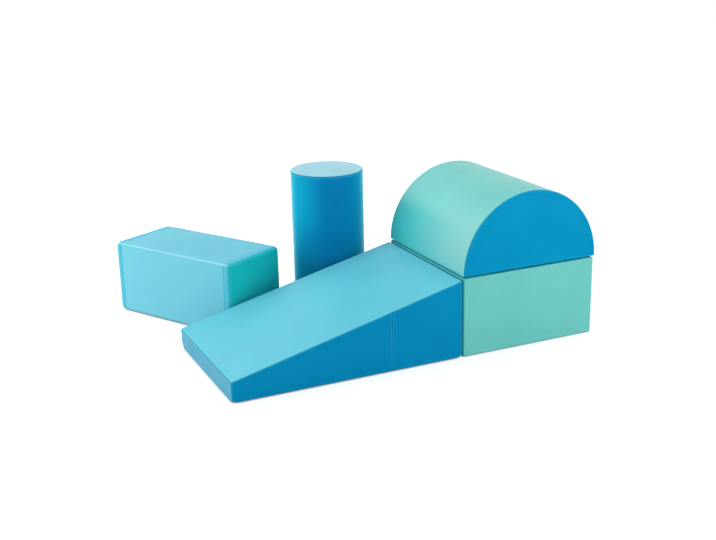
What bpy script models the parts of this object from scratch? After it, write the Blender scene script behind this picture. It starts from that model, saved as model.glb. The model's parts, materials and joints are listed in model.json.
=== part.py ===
"""Soft play set of five foam blocks: ramp, base box, half-round, long block and cylinder.

Every block is a foam core in a cover sewn from padded vinyl panels, with a zip in a hidden side.
Metres, +Z up. The origin is the centre of the base box's underside. +X points up the ramp, and the
ramp, the base box and the half-round show their near sides to -Y.
"""

from collections import namedtuple
from math import asin, ceil, cos, pi, radians, sin

import bmesh
import bpy
from mathutils import Matrix, Vector

# The ramp, the base box and the half-round are equally wide, near side to far side.
SET_WIDTH = 0.508

RAMP_LENGTH = 0.767
RAMP_LOW_HEIGHT = 0.067
RAMP_HIGH_HEIGHT = 0.256
RAMP_SEAM_FROM_HIGH_END = 0.246

BASE_LENGTH = 0.487
BASE_HEIGHT = 0.260

ARCH_RADIUS = 0.2470
ARCH_SKIRT = 0.003
ARCH_SHIFT = 0.002
ARCH_SEGMENTS = 24

# The long block stands askew behind the ramp.
BLOCK_LENGTH = 0.534
BLOCK_DEPTH = 0.264
BLOCK_HEIGHT = 0.254
BLOCK_TURN = radians(-60.4)
BLOCK_FROM_LOW_END = 0.1755

CYLINDER_RADIUS = 0.1255
CYLINDER_HEIGHT = 0.508
CYLINDER_SEGMENTS = 40
CYLINDER_FROM_BLOCK = 0.062

# Free blocks keep this far from the ramp's far side.
FREE_GAP = 0.006

# Touching pieces keep this gap.
FIT_GAP = 0.0003

# A cover panel is vinyl on a soft backing, flat behind and rounded off towards its seams.
COVER_THICKNESS = 0.009
SEAM_PULL = 0.0035
SEAM_REACH = 0.018
FOLD_PULL = 0.0035
FOLD_REACH = 0.010
SHOULDER_STEPS = (0.003, 0.008)
SIDE_SEAM_PULL = 0.0015
SIDE_SEAM_REACH = 0.009
CROWN_HEIGHT = 0.003
CROWN_REACH = 0.100
PANEL_STEP = 0.160
MIDDLE_INSET = 0.075

STRIP_WIDTH = 0.050
STRIP_THICKNESS = 0.0015
STRIP_END_MARGIN = 0.050
TOP_STRIP_FROM_EDGE = 0.060

ZIP_END_MARGIN = 0.060
ZIP_FROM_SEAM = 0.036
TAPE_THICKNESS = 0.0010
TAPE_OVERLAP = 0.0065
CHAIN_WIDTH = 0.007
CHAIN_HEIGHT = 0.0024
TOOTH_PITCH = 0.005
TOOTH_DEPTH = 0.0010
STOP_LENGTH = 0.004
STOP_RISE = 0.0012

SLIDER_LENGTH = 0.013
SLIDER_WALL = 0.0012
SLIDER_PLATE = 0.0014
BRIDGE_LENGTH = 0.010
BRIDGE_WIDTH = 0.0018
BRIDGE_BAR = 0.0012

PULL_LENGTH = 0.026
PULL_WIDTH = 0.008
PULL_THICKNESS = 0.0011
PULL_PLAY = 0.0009
PULL_EYE_CLEARANCE = 0.0012

# Room beside the slider in the cover's slot, and past the end of the pull in its pocket.
SLOT_MARGIN = 0.0025
POCKET_ROOM = 0.004

# Two strips and the three gaps around them part blocks that hold together.
STRIP_STACK = 2 * STRIP_THICKNESS + 3 * FIT_GAP

SLIDER_HALF_WIDTH = CHAIN_WIDTH / 2 + FIT_GAP + SLIDER_WALL
SLOT_HALF_WIDTH = max(SLIDER_HALF_WIDTH, PULL_WIDTH / 2) + SLOT_MARGIN
TAPE_HALF_WIDTH = SLOT_HALF_WIDTH + TAPE_OVERLAP
ZIP_POCKET = PULL_LENGTH + POCKET_ROOM
BRIDGE_OPENING = PULL_THICKNESS + PULL_PLAY

# Zip heights, measured outwards from the cover's outer face.
TAPE_TOP = TAPE_THICKNESS - COVER_THICKNESS
CHAIN_FOOT = TAPE_TOP + FIT_GAP
CHAIN_TOP = CHAIN_FOOT + CHAIN_HEIGHT
PLATE_FOOT = CHAIN_TOP + FIT_GAP
PLATE_TOP = PLATE_FOOT + SLIDER_PLATE
PIVOT_HEIGHT = PLATE_TOP + BRIDGE_OPENING / 2

# Faces that meet at more than this are shaded with a sharp edge.
SHARP_ANGLE = radians(35)

Finish = namedtuple("Finish", "rgb roughness metallic", defaults=(0.0,))
SKY = Finish((112, 206, 224), 0.45)
BLUE = Finish((0, 132, 182), 0.45)
MINT = Finish((122, 203, 199), 0.45)
TEAL = Finish((12, 158, 166), 0.45)
ICE = Finish((160, 216, 232), 0.45)
NON_SLIP = Finish((74, 82, 88), 0.80)
FOAM = Finish((226, 224, 214), 0.95)
TAPE = Finish((24, 96, 122), 0.85)
CHAIN = Finish((36, 78, 98), 0.40)
FELT = Finish((30, 92, 116), 0.90)
STEEL = Finish((176, 178, 182), 0.30, 1.0)

ZipLine = namedtuple("ZipLine", "start along out length")


class Plane:
    """A flat side of a block: its outward direction, and its distance from the block's origin."""

    def __init__(self, direction, reach, crown=0.0):
        self.direction = Vector(direction).normalized()
        self.reach = reach
        self.crown = crown

    def depth(self, point):
        return self.reach - self.direction.dot(point)

    def normal(self, point):
        return self.direction


class Round:
    """A round side: an upright drum, or a vault along Y that turns above its straight skirt."""

    crown = 0.0

    def __init__(self, radius, skirt=None):
        self.radius = radius
        self.skirt = skirt

    def arm(self, point):
        if self.skirt is None:
            return Vector((point.x, point.y, 0))
        return Vector((point.x, 0, max(point.z - self.skirt, 0)))

    def depth(self, point):
        return self.radius - self.arm(point).length

    def normal(self, point):
        return self.arm(point).normalized()


def add_empty(name, parent=None):
    empty = bpy.data.objects.new(name, None)
    empty.parent = parent
    bpy.context.scene.collection.objects.link(empty)
    return empty


class Block:
    """One block of the set: its name, its seams and folds, and the empty that places its pieces."""

    def __init__(self, name, place, turn=0.0):
        self.name = name
        self.edges = []
        self.folds = []
        self.empty = add_empty(f"{name}_place")
        self.empty.location = place
        self.empty.rotation_euler.z = turn

    def sew(self, first, second):
        """Panels of two sides meet in a seam."""
        self.edges.append((first, second, SEAM_PULL, SEAM_REACH))

    def fold(self, first, second):
        """One panel runs on over the edge between two sides."""
        self.edges.append((first, second, FOLD_PULL, FOLD_REACH))
        self.folds.append({first, second})


def linear_value(byte):
    """An eight-bit display value as the linear value that a shader takes."""
    value = byte / 255
    if value <= 0.04045:
        return value / 12.92
    return ((value + 0.055) / 1.055) ** 2.4


def make_material(name, finish):
    made = bpy.data.materials.new(name)
    made.use_nodes = True
    shader = made.node_tree.nodes["Principled BSDF"]
    shader.inputs["Base Color"].default_value = (*map(linear_value, finish.rgb), 1.0)
    shader.inputs["Roughness"].default_value = finish.roughness
    shader.inputs["Metallic"].default_value = finish.metallic
    return made


def mesh_from(name, bm):
    bmesh.ops.recalc_face_normals(bm, faces=bm.faces)
    mesh = bpy.data.meshes.new(name)
    bm.to_mesh(mesh)
    bm.free()
    return mesh


def add_piece(name, bm, parent, finish):
    mesh = mesh_from(name, bm)
    mesh.shade_smooth()
    mesh.set_sharp_from_angle(angle=SHARP_ANGLE)
    mesh.materials.append(make_material(name, finish))
    piece = bpy.data.objects.new(name, mesh)
    piece.parent = parent
    bpy.context.scene.collection.objects.link(piece)
    return piece


def prism(profile, sweep):
    """A closed solid: a flat outline swept along one vector."""
    bm = bmesh.new()
    face = bm.faces.new([bm.verts.new(point) for point in profile])
    swept = bmesh.ops.extrude_face_region(bm, geom=[face])
    moved = [item for item in swept["geom"] if isinstance(item, bmesh.types.BMVert)]
    bmesh.ops.translate(bm, verts=moved, vec=sweep)
    return bm


def box_between(low, high):
    corners = [(low[0], low[1]), (high[0], low[1]), (high[0], high[1]), (low[0], high[1])]
    return prism([Vector((x, y, low[2])) for x, y in corners], Vector((0, 0, high[2] - low[2])))


def guide(name, bm, parent):
    """A body that only cuts or joins others and isn't a piece itself."""
    helper = bpy.data.objects.new(name, mesh_from(name, bm))
    helper.parent = parent
    helper.hide_render = True
    helper.display_type = "WIRE"
    bpy.context.scene.collection.objects.link(helper)
    return helper


def combine(piece, helper, operation):
    modifier = piece.modifiers.new(helper.name, "BOOLEAN")
    modifier.operation = operation
    modifier.solver = "EXACT"
    modifier.object = helper


def falloff(distance, reach):
    return max(0.0, 1.0 - max(distance, 0.0) / reach) ** 2


def ease(share):
    share = min(max(share, 0.0), 1.0)
    return share * share * (3 - 2 * share)


def softened(block, point, side, around, butts=()):
    """The cover's outer surface: drawn in at the block's edges, crowned in the open."""
    moved = point.copy()
    for first, second, pull, reach in block.edges:
        strength = falloff(first.depth(point), reach) * falloff(second.depth(point), reach)
        if strength > 0:
            normals = first.normal(point), second.normal(point)
            mitre = (normals[0] + normals[1]) / (1 + normals[0].dot(normals[1]))
            moved -= mitre * pull * strength
    for butt in butts:
        dip = SIDE_SEAM_PULL * falloff(butt.depth(point), SIDE_SEAM_REACH)
        for other in around:
            if other not in butts:
                dip *= ease(other.depth(point) / SEAM_REACH)
        moved -= (side.normal(point) + butt.normal(point)) * dip
    lift = side.crown
    for other in around:
        lift *= ease(other.depth(point) / CROWN_REACH)
    return moved + side.normal(point) * lift


def meet(first, second, third, depths):
    """The point that lies at the given depth under each of three flat sides."""
    sides = (first, second, third)
    directions = Matrix([side.direction for side in sides])
    return directions.inverted() @ Vector([side.reach - d for side, d in zip(sides, depths)])


def open_steps(length):
    """How many wide steps a side has between its two shoulders."""
    return max(1, ceil((length - 2 * SEAM_REACH) / PANEL_STEP))


def stations(length, count):
    """Places along a side from seam to seam: close together on the shoulders, wide between."""
    inner = length - 2 * SEAM_REACH
    shoulder = [0.0, *SHOULDER_STEPS]
    middle = [SEAM_REACH + inner * k / count for k in range(count + 1)]
    return shoulder + middle + [length - place for place in reversed(shoulder)]


def shares(start, end, count):
    """The stations between two corners as shares of their distance."""
    length = (end - start).length
    return [place / length for place in stations(length, count)]


def panel_corners(block, side, around, butts, depth):
    """A panel's four corners at one depth under its side. Mitred edges draw in with the depth."""
    def edge_depth(other):
        if other in butts:
            return FIT_GAP / 2
        if {side, other} in block.folds:
            return depth
        return depth + FIT_GAP
    left, bottom, right, top = around
    pairs = ((left, bottom), (right, bottom), (right, top), (left, top))
    return [meet(side, a, b, (depth, edge_depth(a), edge_depth(b))) for a, b in pairs]


def panel_grid(corners, columns, rows):
    """Points over a four-sided panel, one list for each row, with so many wide steps each way."""
    low_left, low_right, high_right, high_left = corners
    across_low = shares(low_left, low_right, columns)
    across_high = shares(high_left, high_right, columns)
    up_left = shares(low_left, high_left, rows)
    up_right = shares(low_right, high_right, rows)
    grid = []
    for left_share, right_share in zip(up_left, up_right):
        line = []
        for low_share, high_share in zip(across_low, across_high):
            share = (low_share + high_share) / 2
            height = left_share + (right_share - left_share) * share
            low = low_left.lerp(low_right, low_share)
            high = high_left.lerp(high_right, high_share)
            line.append(low.lerp(high, height))
        grid.append(line)
    return grid


def rim_of(grid):
    """A grid's outline in order, starting at its first corner."""
    rows = len(grid)
    columns = len(grid[0])
    cells = [(0, c) for c in range(columns)]
    cells += [(r, columns - 1) for r in range(1, rows)]
    cells += [(rows - 1, c) for c in range(columns - 2, -1, -1)]
    cells += [(r, 0) for r in range(rows - 2, 0, -1)]
    return cells


def skin_faces(bm, front):
    for low, high in zip(front, front[1:]):
        for k in range(len(low) - 1):
            bm.faces.new((low[k], low[k + 1], high[k + 1], high[k]))


def edge_faces(bm, front_rim, back_rim):
    count = len(front_rim)
    for k in range(count):
        after = (k + 1) % count
        bm.faces.new((front_rim[after], front_rim[k], back_rim[k], back_rim[after]))


def fan(bm, rim, middle):
    for k, corner in enumerate(rim):
        bm.faces.new((corner, rim[(k + 1) % len(rim)], middle))


def closed_panel(block, name, skin, lining, creases, finish):
    """A panel's solid, from equal grids of points over its skin and its lining.

    creases are the rows at which the lining starts, turns and ends. It is flat between them.
    """
    bm = bmesh.new()
    front = [[bm.verts.new(point) for point in row] for row in skin]
    cells = rim_of(front)
    behind = {(r, c): bm.verts.new(lining[r][c]) for r, c in cells}
    skin_faces(bm, front)
    edge_faces(bm, [front[r][c] for r, c in cells], [behind[cell] for cell in cells])
    last_column = len(front[0]) - 1
    for low, high in zip(creases, creases[1:]):
        lower = range(1, last_column) if low == 0 else ()
        upper = range(last_column - 1, 0, -1) if high == len(front) - 1 else ()
        outline = [(r, 0) for r in range(high, low - 1, -1)]
        outline += [(low, c) for c in lower]
        outline += [(r, last_column) for r in range(low, high + 1)]
        outline += [(high, c) for c in upper]
        bm.faces.new([behind[cell] for cell in outline])
    return add_piece(name, bm, block.empty, finish)


def folded_panel(block, name, faces, finish, butts=()):
    """A panel of a cover that is folded over one side after another.

    faces pairs each side with the sides left of, below, right of and above the panel there.
    butts holds those of them that are the panel's other half, and not a side of the block.
    """
    skin = []
    lining = []
    creases = [0]
    for side, around in faces:
        outer = panel_corners(block, side, around, butts, 0.0)
        inner = panel_corners(block, side, around, butts, COVER_THICKNESS)
        columns = open_steps(max((outer[1] - outer[0]).length, (outer[2] - outer[3]).length))
        rows = open_steps(max((outer[3] - outer[0]).length, (outer[2] - outer[1]).length))
        shared = 1 if skin else 0
        skin += [
            [softened(block, point, side, around, butts) for point in row]
            for row in panel_grid(outer, columns, rows)[shared:]
        ]
        lining += panel_grid(inner, columns, rows)[shared:]
        creases.append(len(skin) - 1)
    return closed_panel(block, name, skin, lining, creases, finish)


def sewn_panel(block, name, side, around, finish, butts=()):
    """A flat panel of a cover. around holds the sides left of, below, right of and above it."""
    return folded_panel(block, name, [(side, around)], finish, butts)


def end_panel(block, name, side, others, outline, finish):
    """A round-edged panel: rings from the seam inwards round a point in its middle.

    outline(inset, depth) gives the panel's edge, drawn in by an inset, at a depth under its side.
    """
    bm = bmesh.new()
    rings = [
        [bm.verts.new(softened(block, point, side, others)) for point in outline(inset, 0.0)]
        for inset in (0.0, *SHOULDER_STEPS, SEAM_REACH, MIDDLE_INSET)
    ]
    back = [bm.verts.new(point) for point in outline(0.0, COVER_THICKNESS)]
    for ring, following in zip(rings, rings[1:]):
        edge_faces(bm, ring, following)
    inmost = outline(MIDDLE_INSET, 0.0)
    middle = softened(block, sum(inmost, Vector()) / len(inmost), side, others)
    fan(bm, rings[-1], bm.verts.new(middle))
    edge_faces(bm, rings[0], back)
    bm.faces.new(back)
    return add_piece(name, bm, block.empty, finish)


def wrap_panel(block, name, side, others, lines, finish):
    """A curved panel. lines(depth) gives its points, one list for each step round the curve."""
    skin = [[softened(block, point, side, others) for point in row] for row in lines(0.0)]
    return closed_panel(block, name, skin, lines(COVER_THICKNESS), range(len(skin)), finish)


def foam_core(block, profile, sweep):
    add_piece(f"{block.name}_foam_core", prism(profile, sweep), block.empty, FOAM)


def standing_strip(name, parent, face, height, half_run):
    """A strip on a wall that faces along X. face is its side nearer to -X."""
    low = (face, -half_run, height - STRIP_WIDTH / 2)
    high = (face + STRIP_THICKNESS, half_run, height + STRIP_WIDTH / 2)
    add_piece(name, box_between(low, high), parent, FELT)


def lying_strip(name, parent, centre, foot, half_run):
    """A strip on a level face. foot is the height of its lower side."""
    low = (centre - STRIP_WIDTH / 2, -half_run, foot)
    high = (centre + STRIP_WIDTH / 2, half_run, foot + STRIP_THICKNESS)
    add_piece(name, box_between(low, high), parent, FELT)


def zip_cuts(prefix, place, length, panel):
    """The slot that shows the chain, and the pocket behind it that holds the tape's edges."""
    tape_end = length + ZIP_POCKET + TAPE_OVERLAP
    tape_side = TAPE_HALF_WIDTH + FIT_GAP
    slot_low = (-STOP_LENGTH, -SLOT_HALF_WIDTH, -2 * COVER_THICKNESS)
    slot_high = (length + ZIP_POCKET, SLOT_HALF_WIDTH, COVER_THICKNESS)
    pocket_low = (-STOP_LENGTH - TAPE_OVERLAP - FIT_GAP, -tape_side, -2 * COVER_THICKNESS)
    pocket_high = (tape_end + FIT_GAP, tape_side, TAPE_TOP + FIT_GAP)
    slot = guide(f"{prefix}_slot_cut", box_between(slot_low, slot_high), place)
    pocket = guide(f"{prefix}_pocket_cut", box_between(pocket_low, pocket_high), place)
    combine(panel, slot, "DIFFERENCE")
    combine(panel, pocket, "DIFFERENCE")


def zip_chain(name, parent, length):
    """Meshed teeth: the two edges of the chain rise and fall in turn, between plain end stops."""
    half = CHAIN_WIDTH / 2
    valley = CHAIN_TOP - TOOTH_DEPTH
    middle = CHAIN_TOP - TOOTH_DEPTH / 2
    steps = 2 * round((length - 2 * STOP_LENGTH) / TOOTH_PITCH)
    step = (length - 2 * STOP_LENGTH) / steps
    stop = (CHAIN_TOP + STOP_RISE,) * 3
    top = [(0.0, *stop), (STOP_LENGTH - STOP_RISE, *stop)]
    for k in range(steps + 1):
        near, far = (CHAIN_TOP, valley) if k % 2 else (valley, CHAIN_TOP)
        top.append((STOP_LENGTH + k * step, near, middle, far))
    top += [(length - STOP_LENGTH + STOP_RISE, *stop), (length, *stop)]
    bm = bmesh.new()
    rows = [
        [bm.verts.new((x, y, z)) for y, z in ((-half, near), (0.0, mid), (half, far))]
        for x, near, mid, far in top
    ]
    skin_faces(bm, rows)
    cells = rim_of(rows)
    rim = [rows[r][c] for r, c in cells]
    foot = [bm.verts.new((vert.co.x, vert.co.y, CHAIN_FOOT)) for vert in rim]
    edge_faces(bm, rim, foot)
    bm.faces.new(foot)
    add_piece(name, bm, parent, CHAIN)


def zip_slider(name, parent):
    """The slider's outer half: a plate whose flanges run beside the chain, with a bridge on it."""
    outer = SLIDER_HALF_WIDTH
    inner = outer - SLIDER_WALL
    foot = CHAIN_FOOT + FIT_GAP
    half = SLIDER_LENGTH / 2
    section = [
        (-outer, foot), (-inner, foot), (-inner, PLATE_FOOT), (inner, PLATE_FOOT),
        (inner, foot), (outer, foot), (outer, PLATE_TOP), (-outer, PLATE_TOP),
    ]
    profile = [Vector((-half, y, z - PIVOT_HEIGHT)) for y, z in section]
    slider = add_piece(name, prism(profile, Vector((SLIDER_LENGTH, 0, 0))), parent, STEEL)
    foot = PLATE_TOP - SLIDER_PLATE / 2
    under = PLATE_TOP + BRIDGE_OPENING
    top = under + BRIDGE_BAR
    reach = BRIDGE_LENGTH / 2
    arch = [
        (-reach, foot), (-reach, under), (-reach + BRIDGE_BAR, top), (reach - BRIDGE_BAR, top),
        (reach, under), (reach, foot), (reach - BRIDGE_BAR, foot), (reach - BRIDGE_BAR, under),
        (BRIDGE_BAR - reach, under), (BRIDGE_BAR - reach, foot),
    ]
    profile = [Vector((x, -BRIDGE_WIDTH / 2, z - PIVOT_HEIGHT)) for x, z in arch]
    bridge = guide(f"{name}_bridge", prism(profile, Vector((0, BRIDGE_WIDTH, 0))), parent)
    combine(slider, bridge, "UNION")


def zip_pull(name, parent):
    """A pull tab whose crossbar turns under the slider's bridge. It points along the chain."""
    half = PULL_WIDTH / 2
    bar = PULL_THICKNESS / 2
    corner = PULL_WIDTH / 4
    outer = [
        (-bar, -half), (PULL_LENGTH - corner, -half), (PULL_LENGTH, -half + corner),
        (PULL_LENGTH, half - corner), (PULL_LENGTH - corner, half), (-bar, half),
    ]
    plate = prism([Vector((x, y, -bar)) for x, y in outer], Vector((0, 0, PULL_THICKNESS)))
    pull = add_piece(name, plate, parent, STEEL)
    eye_side = BRIDGE_WIDTH / 2 + PULL_EYE_CLEARANCE
    eye_end = BRIDGE_LENGTH / 2 + PULL_EYE_CLEARANCE
    eye = box_between((bar, -eye_side, -PULL_THICKNESS), (eye_end, eye_side, PULL_THICKNESS))
    combine(pull, guide(f"{name}_eye", eye, parent), "DIFFERENCE")


def fit_zip(block, line, panel):
    """A zip on a line over a panel's outer face: tape, chain, slider and pull."""
    prefix = block.name
    along = Vector(line.along)
    out = Vector(line.out)
    turn = Matrix((along, out.cross(along), out)).transposed().to_4x4()
    place = add_empty(f"{prefix}_zip_place", block.empty)
    place.matrix_local = Matrix.Translation(line.start) @ turn
    zip_cuts(prefix, place, line.length, panel)
    tape_end = line.length + ZIP_POCKET + TAPE_OVERLAP
    tape = box_between(
        (-STOP_LENGTH - TAPE_OVERLAP, -TAPE_HALF_WIDTH, -COVER_THICKNESS),
        (tape_end, TAPE_HALF_WIDTH, TAPE_TOP),
    )
    add_piece(f"{prefix}_zip_tape", tape, place, TAPE)
    zip_chain(f"{prefix}_zip_chain", place, line.length)
    carriage = add_empty(f"{prefix}_zip_pivot", place)
    carriage.location = (STOP_LENGTH + FIT_GAP + SLIDER_LENGTH / 2, 0, PIVOT_HEIGHT)
    zip_slider(f"{prefix}_zip_slider", carriage)
    zip_pull(f"{prefix}_zip_pull", carriage)


def square_sides(size, flush=()):
    """A square block's sides: left, right, front, back, bottom, top. flush ones have no crown."""
    length, depth, height = size
    reaches = {
        "left": ((-1, 0, 0), length / 2),
        "right": ((1, 0, 0), length / 2),
        "front": ((0, -1, 0), depth / 2),
        "back": ((0, 1, 0), depth / 2),
        "bottom": ((0, 0, -1), 0.0),
        "top": ((0, 0, 1), height),
    }
    flat = ("bottom", *flush)
    return [
        Plane(direction, reach, 0.0 if name in flat else CROWN_HEIGHT)
        for name, (direction, reach) in reaches.items()
    ]


def square_core(block, size):
    length, depth, height = size
    depth_in = COVER_THICKNESS + FIT_GAP
    half_length = length / 2 - depth_in
    half_depth = depth / 2 - depth_in
    profile = [
        Vector((-half_length, -half_depth, depth_in)), Vector((half_length, -half_depth, depth_in)),
        Vector((half_length, half_depth, depth_in)), Vector((-half_length, half_depth, depth_in)),
    ]
    foam_core(block, profile, Vector((0, 0, height - 2 * depth_in)))


def back_zip_line(length, depth):
    """A zip low on a square block's back, centred together with its pocket."""
    run = length - 2 * ZIP_END_MARGIN - ZIP_POCKET
    start = Vector((length / 2 - ZIP_END_MARGIN, depth / 2, ZIP_FROM_SEAM))
    return ZipLine(start, (-1, 0, 0), (0, 1, 0), run)


def make_base():
    """The base box. The sides that hold the ramp and the half-round stay flat."""
    base = Block("base", (0, 0, 0))
    size = (BASE_LENGTH, SET_WIDTH, BASE_HEIGHT)
    left, right, front, back, bottom, top = square_sides(size, ("left", "top"))
    for pair in ((left, front), (front, right), (right, back), (back, left)):
        base.sew(*pair)
    for wall in (left, right, front, back):
        base.sew(wall, bottom)
        base.sew(wall, top)
    sewn_panel(base, "base_left_panel", left, (back, bottom, front, top), MINT)
    sewn_panel(base, "base_right_panel", right, (front, bottom, back, top), MINT)
    sewn_panel(base, "base_front_panel", front, (left, bottom, right, top), MINT)
    sewn_panel(base, "base_top_panel", top, (left, front, right, back), MINT)
    zipped = sewn_panel(base, "base_back_panel", back, (right, bottom, left, top), MINT)
    sewn_panel(base, "base_underside", bottom, (left, back, right, front), NON_SLIP)
    square_core(base, size)
    fit_zip(base, back_zip_line(BASE_LENGTH, SET_WIDTH), zipped)
    half_run = SET_WIDTH / 2 - STRIP_END_MARGIN
    face = -BASE_LENGTH / 2 - FIT_GAP - STRIP_THICKNESS
    standing_strip("base_side_loop_strip", base.empty, face, RAMP_HIGH_HEIGHT / 2, half_run)
    for side, sign in (("left", -1), ("right", 1)):
        centre = sign * (BASE_LENGTH / 2 - TOP_STRIP_FROM_EDGE)
        lying_strip(f"base_{side}_loop_strip", base.empty, centre, BASE_HEIGHT + FIT_GAP, half_run)


def make_ramp():
    """The wedge. Its own origin is the middle of its underside's high edge."""
    ramp = Block("ramp", (-BASE_LENGTH / 2 - STRIP_STACK, 0, 0))
    half_width = SET_WIDTH / 2
    rise = RAMP_HIGH_HEIGHT - RAMP_LOW_HEIGHT
    slope = Vector((-rise, 0, RAMP_LENGTH)).normalized()
    low_end = Plane((-1, 0, 0), RAMP_LENGTH, CROWN_HEIGHT)
    high_end = Plane((1, 0, 0), 0.0)
    near = Plane((0, -1, 0), half_width, CROWN_HEIGHT)
    far = Plane((0, 1, 0), half_width, CROWN_HEIGHT)
    bottom = Plane((0, 0, -1), 0.0)
    top = Plane(slope, slope.z * RAMP_HIGH_HEIGHT, CROWN_HEIGHT)
    seam_from_low = Plane((1, 0, 0), -RAMP_SEAM_FROM_HIGH_END)
    seam_from_high = Plane((-1, 0, 0), RAMP_SEAM_FROM_HIGH_END)
    for side in (near, far):
        for other in (low_end, high_end, bottom, top):
            ramp.sew(side, other)
    for end in (low_end, high_end):
        ramp.sew(end, bottom)
        ramp.sew(end, top)
    sewn_panel(ramp, "ramp_top_panel", top, (low_end, near, high_end, far), SKY)
    sewn_panel(ramp, "ramp_low_end_panel", low_end, (far, bottom, near, top), BLUE)
    sewn_panel(ramp, "ramp_high_end_panel", high_end, (near, bottom, far, top), BLUE)
    sewn_panel(ramp, "ramp_underside", bottom, (low_end, far, high_end, near), NON_SLIP)
    low_half = (low_end, bottom, seam_from_low, top)
    high_half = (seam_from_high, bottom, high_end, top)
    sewn_panel(ramp, "ramp_near_low_panel", near, low_half, BLUE, [seam_from_low])
    sewn_panel(ramp, "ramp_near_high_panel", near, high_half, BLUE, [seam_from_high])
    low_half = (seam_from_low, bottom, low_end, top)
    high_half = (high_end, bottom, seam_from_high, top)
    far_low = sewn_panel(ramp, "ramp_far_low_panel", far, low_half, BLUE, [seam_from_low])
    sewn_panel(ramp, "ramp_far_high_panel", far, high_half, BLUE, [seam_from_high])
    depth_in = COVER_THICKNESS + FIT_GAP
    corners = ((low_end, bottom), (high_end, bottom), (high_end, top), (low_end, top))
    profile = [meet(near, a, b, (depth_in, depth_in, depth_in)) for a, b in corners]
    foam_core(ramp, profile, Vector((0, SET_WIDTH - 2 * depth_in, 0)))
    run = RAMP_LENGTH - RAMP_SEAM_FROM_HIGH_END - 2 * ZIP_END_MARGIN - ZIP_POCKET
    start = Vector((-RAMP_SEAM_FROM_HIGH_END - ZIP_END_MARGIN, half_width, ZIP_FROM_SEAM))
    fit_zip(ramp, ZipLine(start, (-1, 0, 0), (0, 1, 0), run), far_low)
    half_run = half_width - STRIP_END_MARGIN
    standing_strip("ramp_hook_strip", ramp.empty, FIT_GAP, RAMP_HIGH_HEIGHT / 2, half_run)


def vault_outline(radius, floor):
    """The half-round's outline from its right foot over the top to its left foot, as x and z."""
    start = asin(min(max((floor - ARCH_SKIRT) / radius, 0.0), 1.0))
    straight = max(ARCH_SKIRT - floor, 0.0)
    arc = radius * (pi - 2 * start)
    total = arc + 2 * straight
    ends = [0.0, *SHOULDER_STEPS, SEAM_REACH]
    inner = total - 2 * SEAM_REACH
    middle = [SEAM_REACH + inner * k / ARCH_SEGMENTS for k in range(1, ARCH_SEGMENTS)]
    points = []
    for along in ends + middle + [total - end for end in reversed(ends)]:
        if along <= straight:
            points.append((radius * cos(start), floor + along))
        elif along >= total - straight:
            points.append((-radius * cos(start), floor + total - along))
        else:
            angle = start + (along - straight) / radius
            points.append((radius * cos(angle), ARCH_SKIRT + radius * sin(angle)))
    return points


def make_arch():
    """The half-round. Its own origin is the centre of its flat underside."""
    arch = Block("arch", (ARCH_SHIFT, 0, BASE_HEIGHT + STRIP_STACK))
    half_width = SET_WIDTH / 2
    vault = Round(ARCH_RADIUS, ARCH_SKIRT)
    near = Plane((0, -1, 0), half_width, CROWN_HEIGHT)
    far = Plane((0, 1, 0), half_width, CROWN_HEIGHT)
    left = Plane((-1, 0, 0), ARCH_RADIUS)
    right = Plane((1, 0, 0), ARCH_RADIUS)
    bottom = Plane((0, 0, -1), 0.0)
    for pair in ((vault, near), (vault, far), (vault, bottom), (near, bottom), (far, bottom)):
        arch.sew(*pair)
    widths = stations(SET_WIDTH, open_steps(SET_WIDTH))
    spans = stations(2 * ARCH_RADIUS, open_steps(2 * ARCH_RADIUS))

    def vault_lines(depth):
        edge = half_width - depth - FIT_GAP
        across = [-edge + 2 * edge * place / SET_WIDTH for place in widths]
        return [
            [Vector((x, y, z)) for y in across]
            for x, z in vault_outline(ARCH_RADIUS - depth, depth + FIT_GAP)
        ]

    def end_outline(sign):
        def ring(inset, depth):
            drawn = inset + depth + FIT_GAP
            outline = vault_outline(ARCH_RADIUS - drawn, drawn)
            foot = outline[0][0]
            flat = [(foot * (place / ARCH_RADIUS - 1), drawn) for place in spans[1:-1]]
            return [Vector((x, sign * (half_width - depth), z)) for x, z in outline + flat]
        return ring

    wrap_panel(arch, "arch_curved_panel", vault, (near, far), vault_lines, MINT)
    end_panel(arch, "arch_near_end_panel", near, (vault, bottom), end_outline(-1), BLUE)
    far_end = end_panel(arch, "arch_far_end_panel", far, (vault, bottom), end_outline(1), BLUE)
    sewn_panel(arch, "arch_underside", bottom, (left, far, right, near), BLUE)
    depth_in = COVER_THICKNESS + FIT_GAP
    outline = vault_outline(ARCH_RADIUS - depth_in, depth_in)
    profile = [Vector((x, -half_width + depth_in, z)) for x, z in outline]
    foam_core(arch, profile, Vector((0, SET_WIDTH - 2 * depth_in, 0)))
    run = 2 * ARCH_RADIUS - 2 * ZIP_END_MARGIN - ZIP_POCKET
    start = Vector((ARCH_RADIUS - ZIP_END_MARGIN, half_width, ZIP_FROM_SEAM))
    fit_zip(arch, ZipLine(start, (-1, 0, 0), (0, 1, 0), run), far_end)
    half_run = half_width - STRIP_END_MARGIN
    for side, sign in (("left", -1), ("right", 1)):
        centre = sign * (BASE_LENGTH / 2 - TOP_STRIP_FROM_EDGE) - ARCH_SHIFT
        foot = -FIT_GAP - STRIP_THICKNESS
        lying_strip(f"arch_{side}_hook_strip", arch.empty, centre, foot, half_run)


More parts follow.
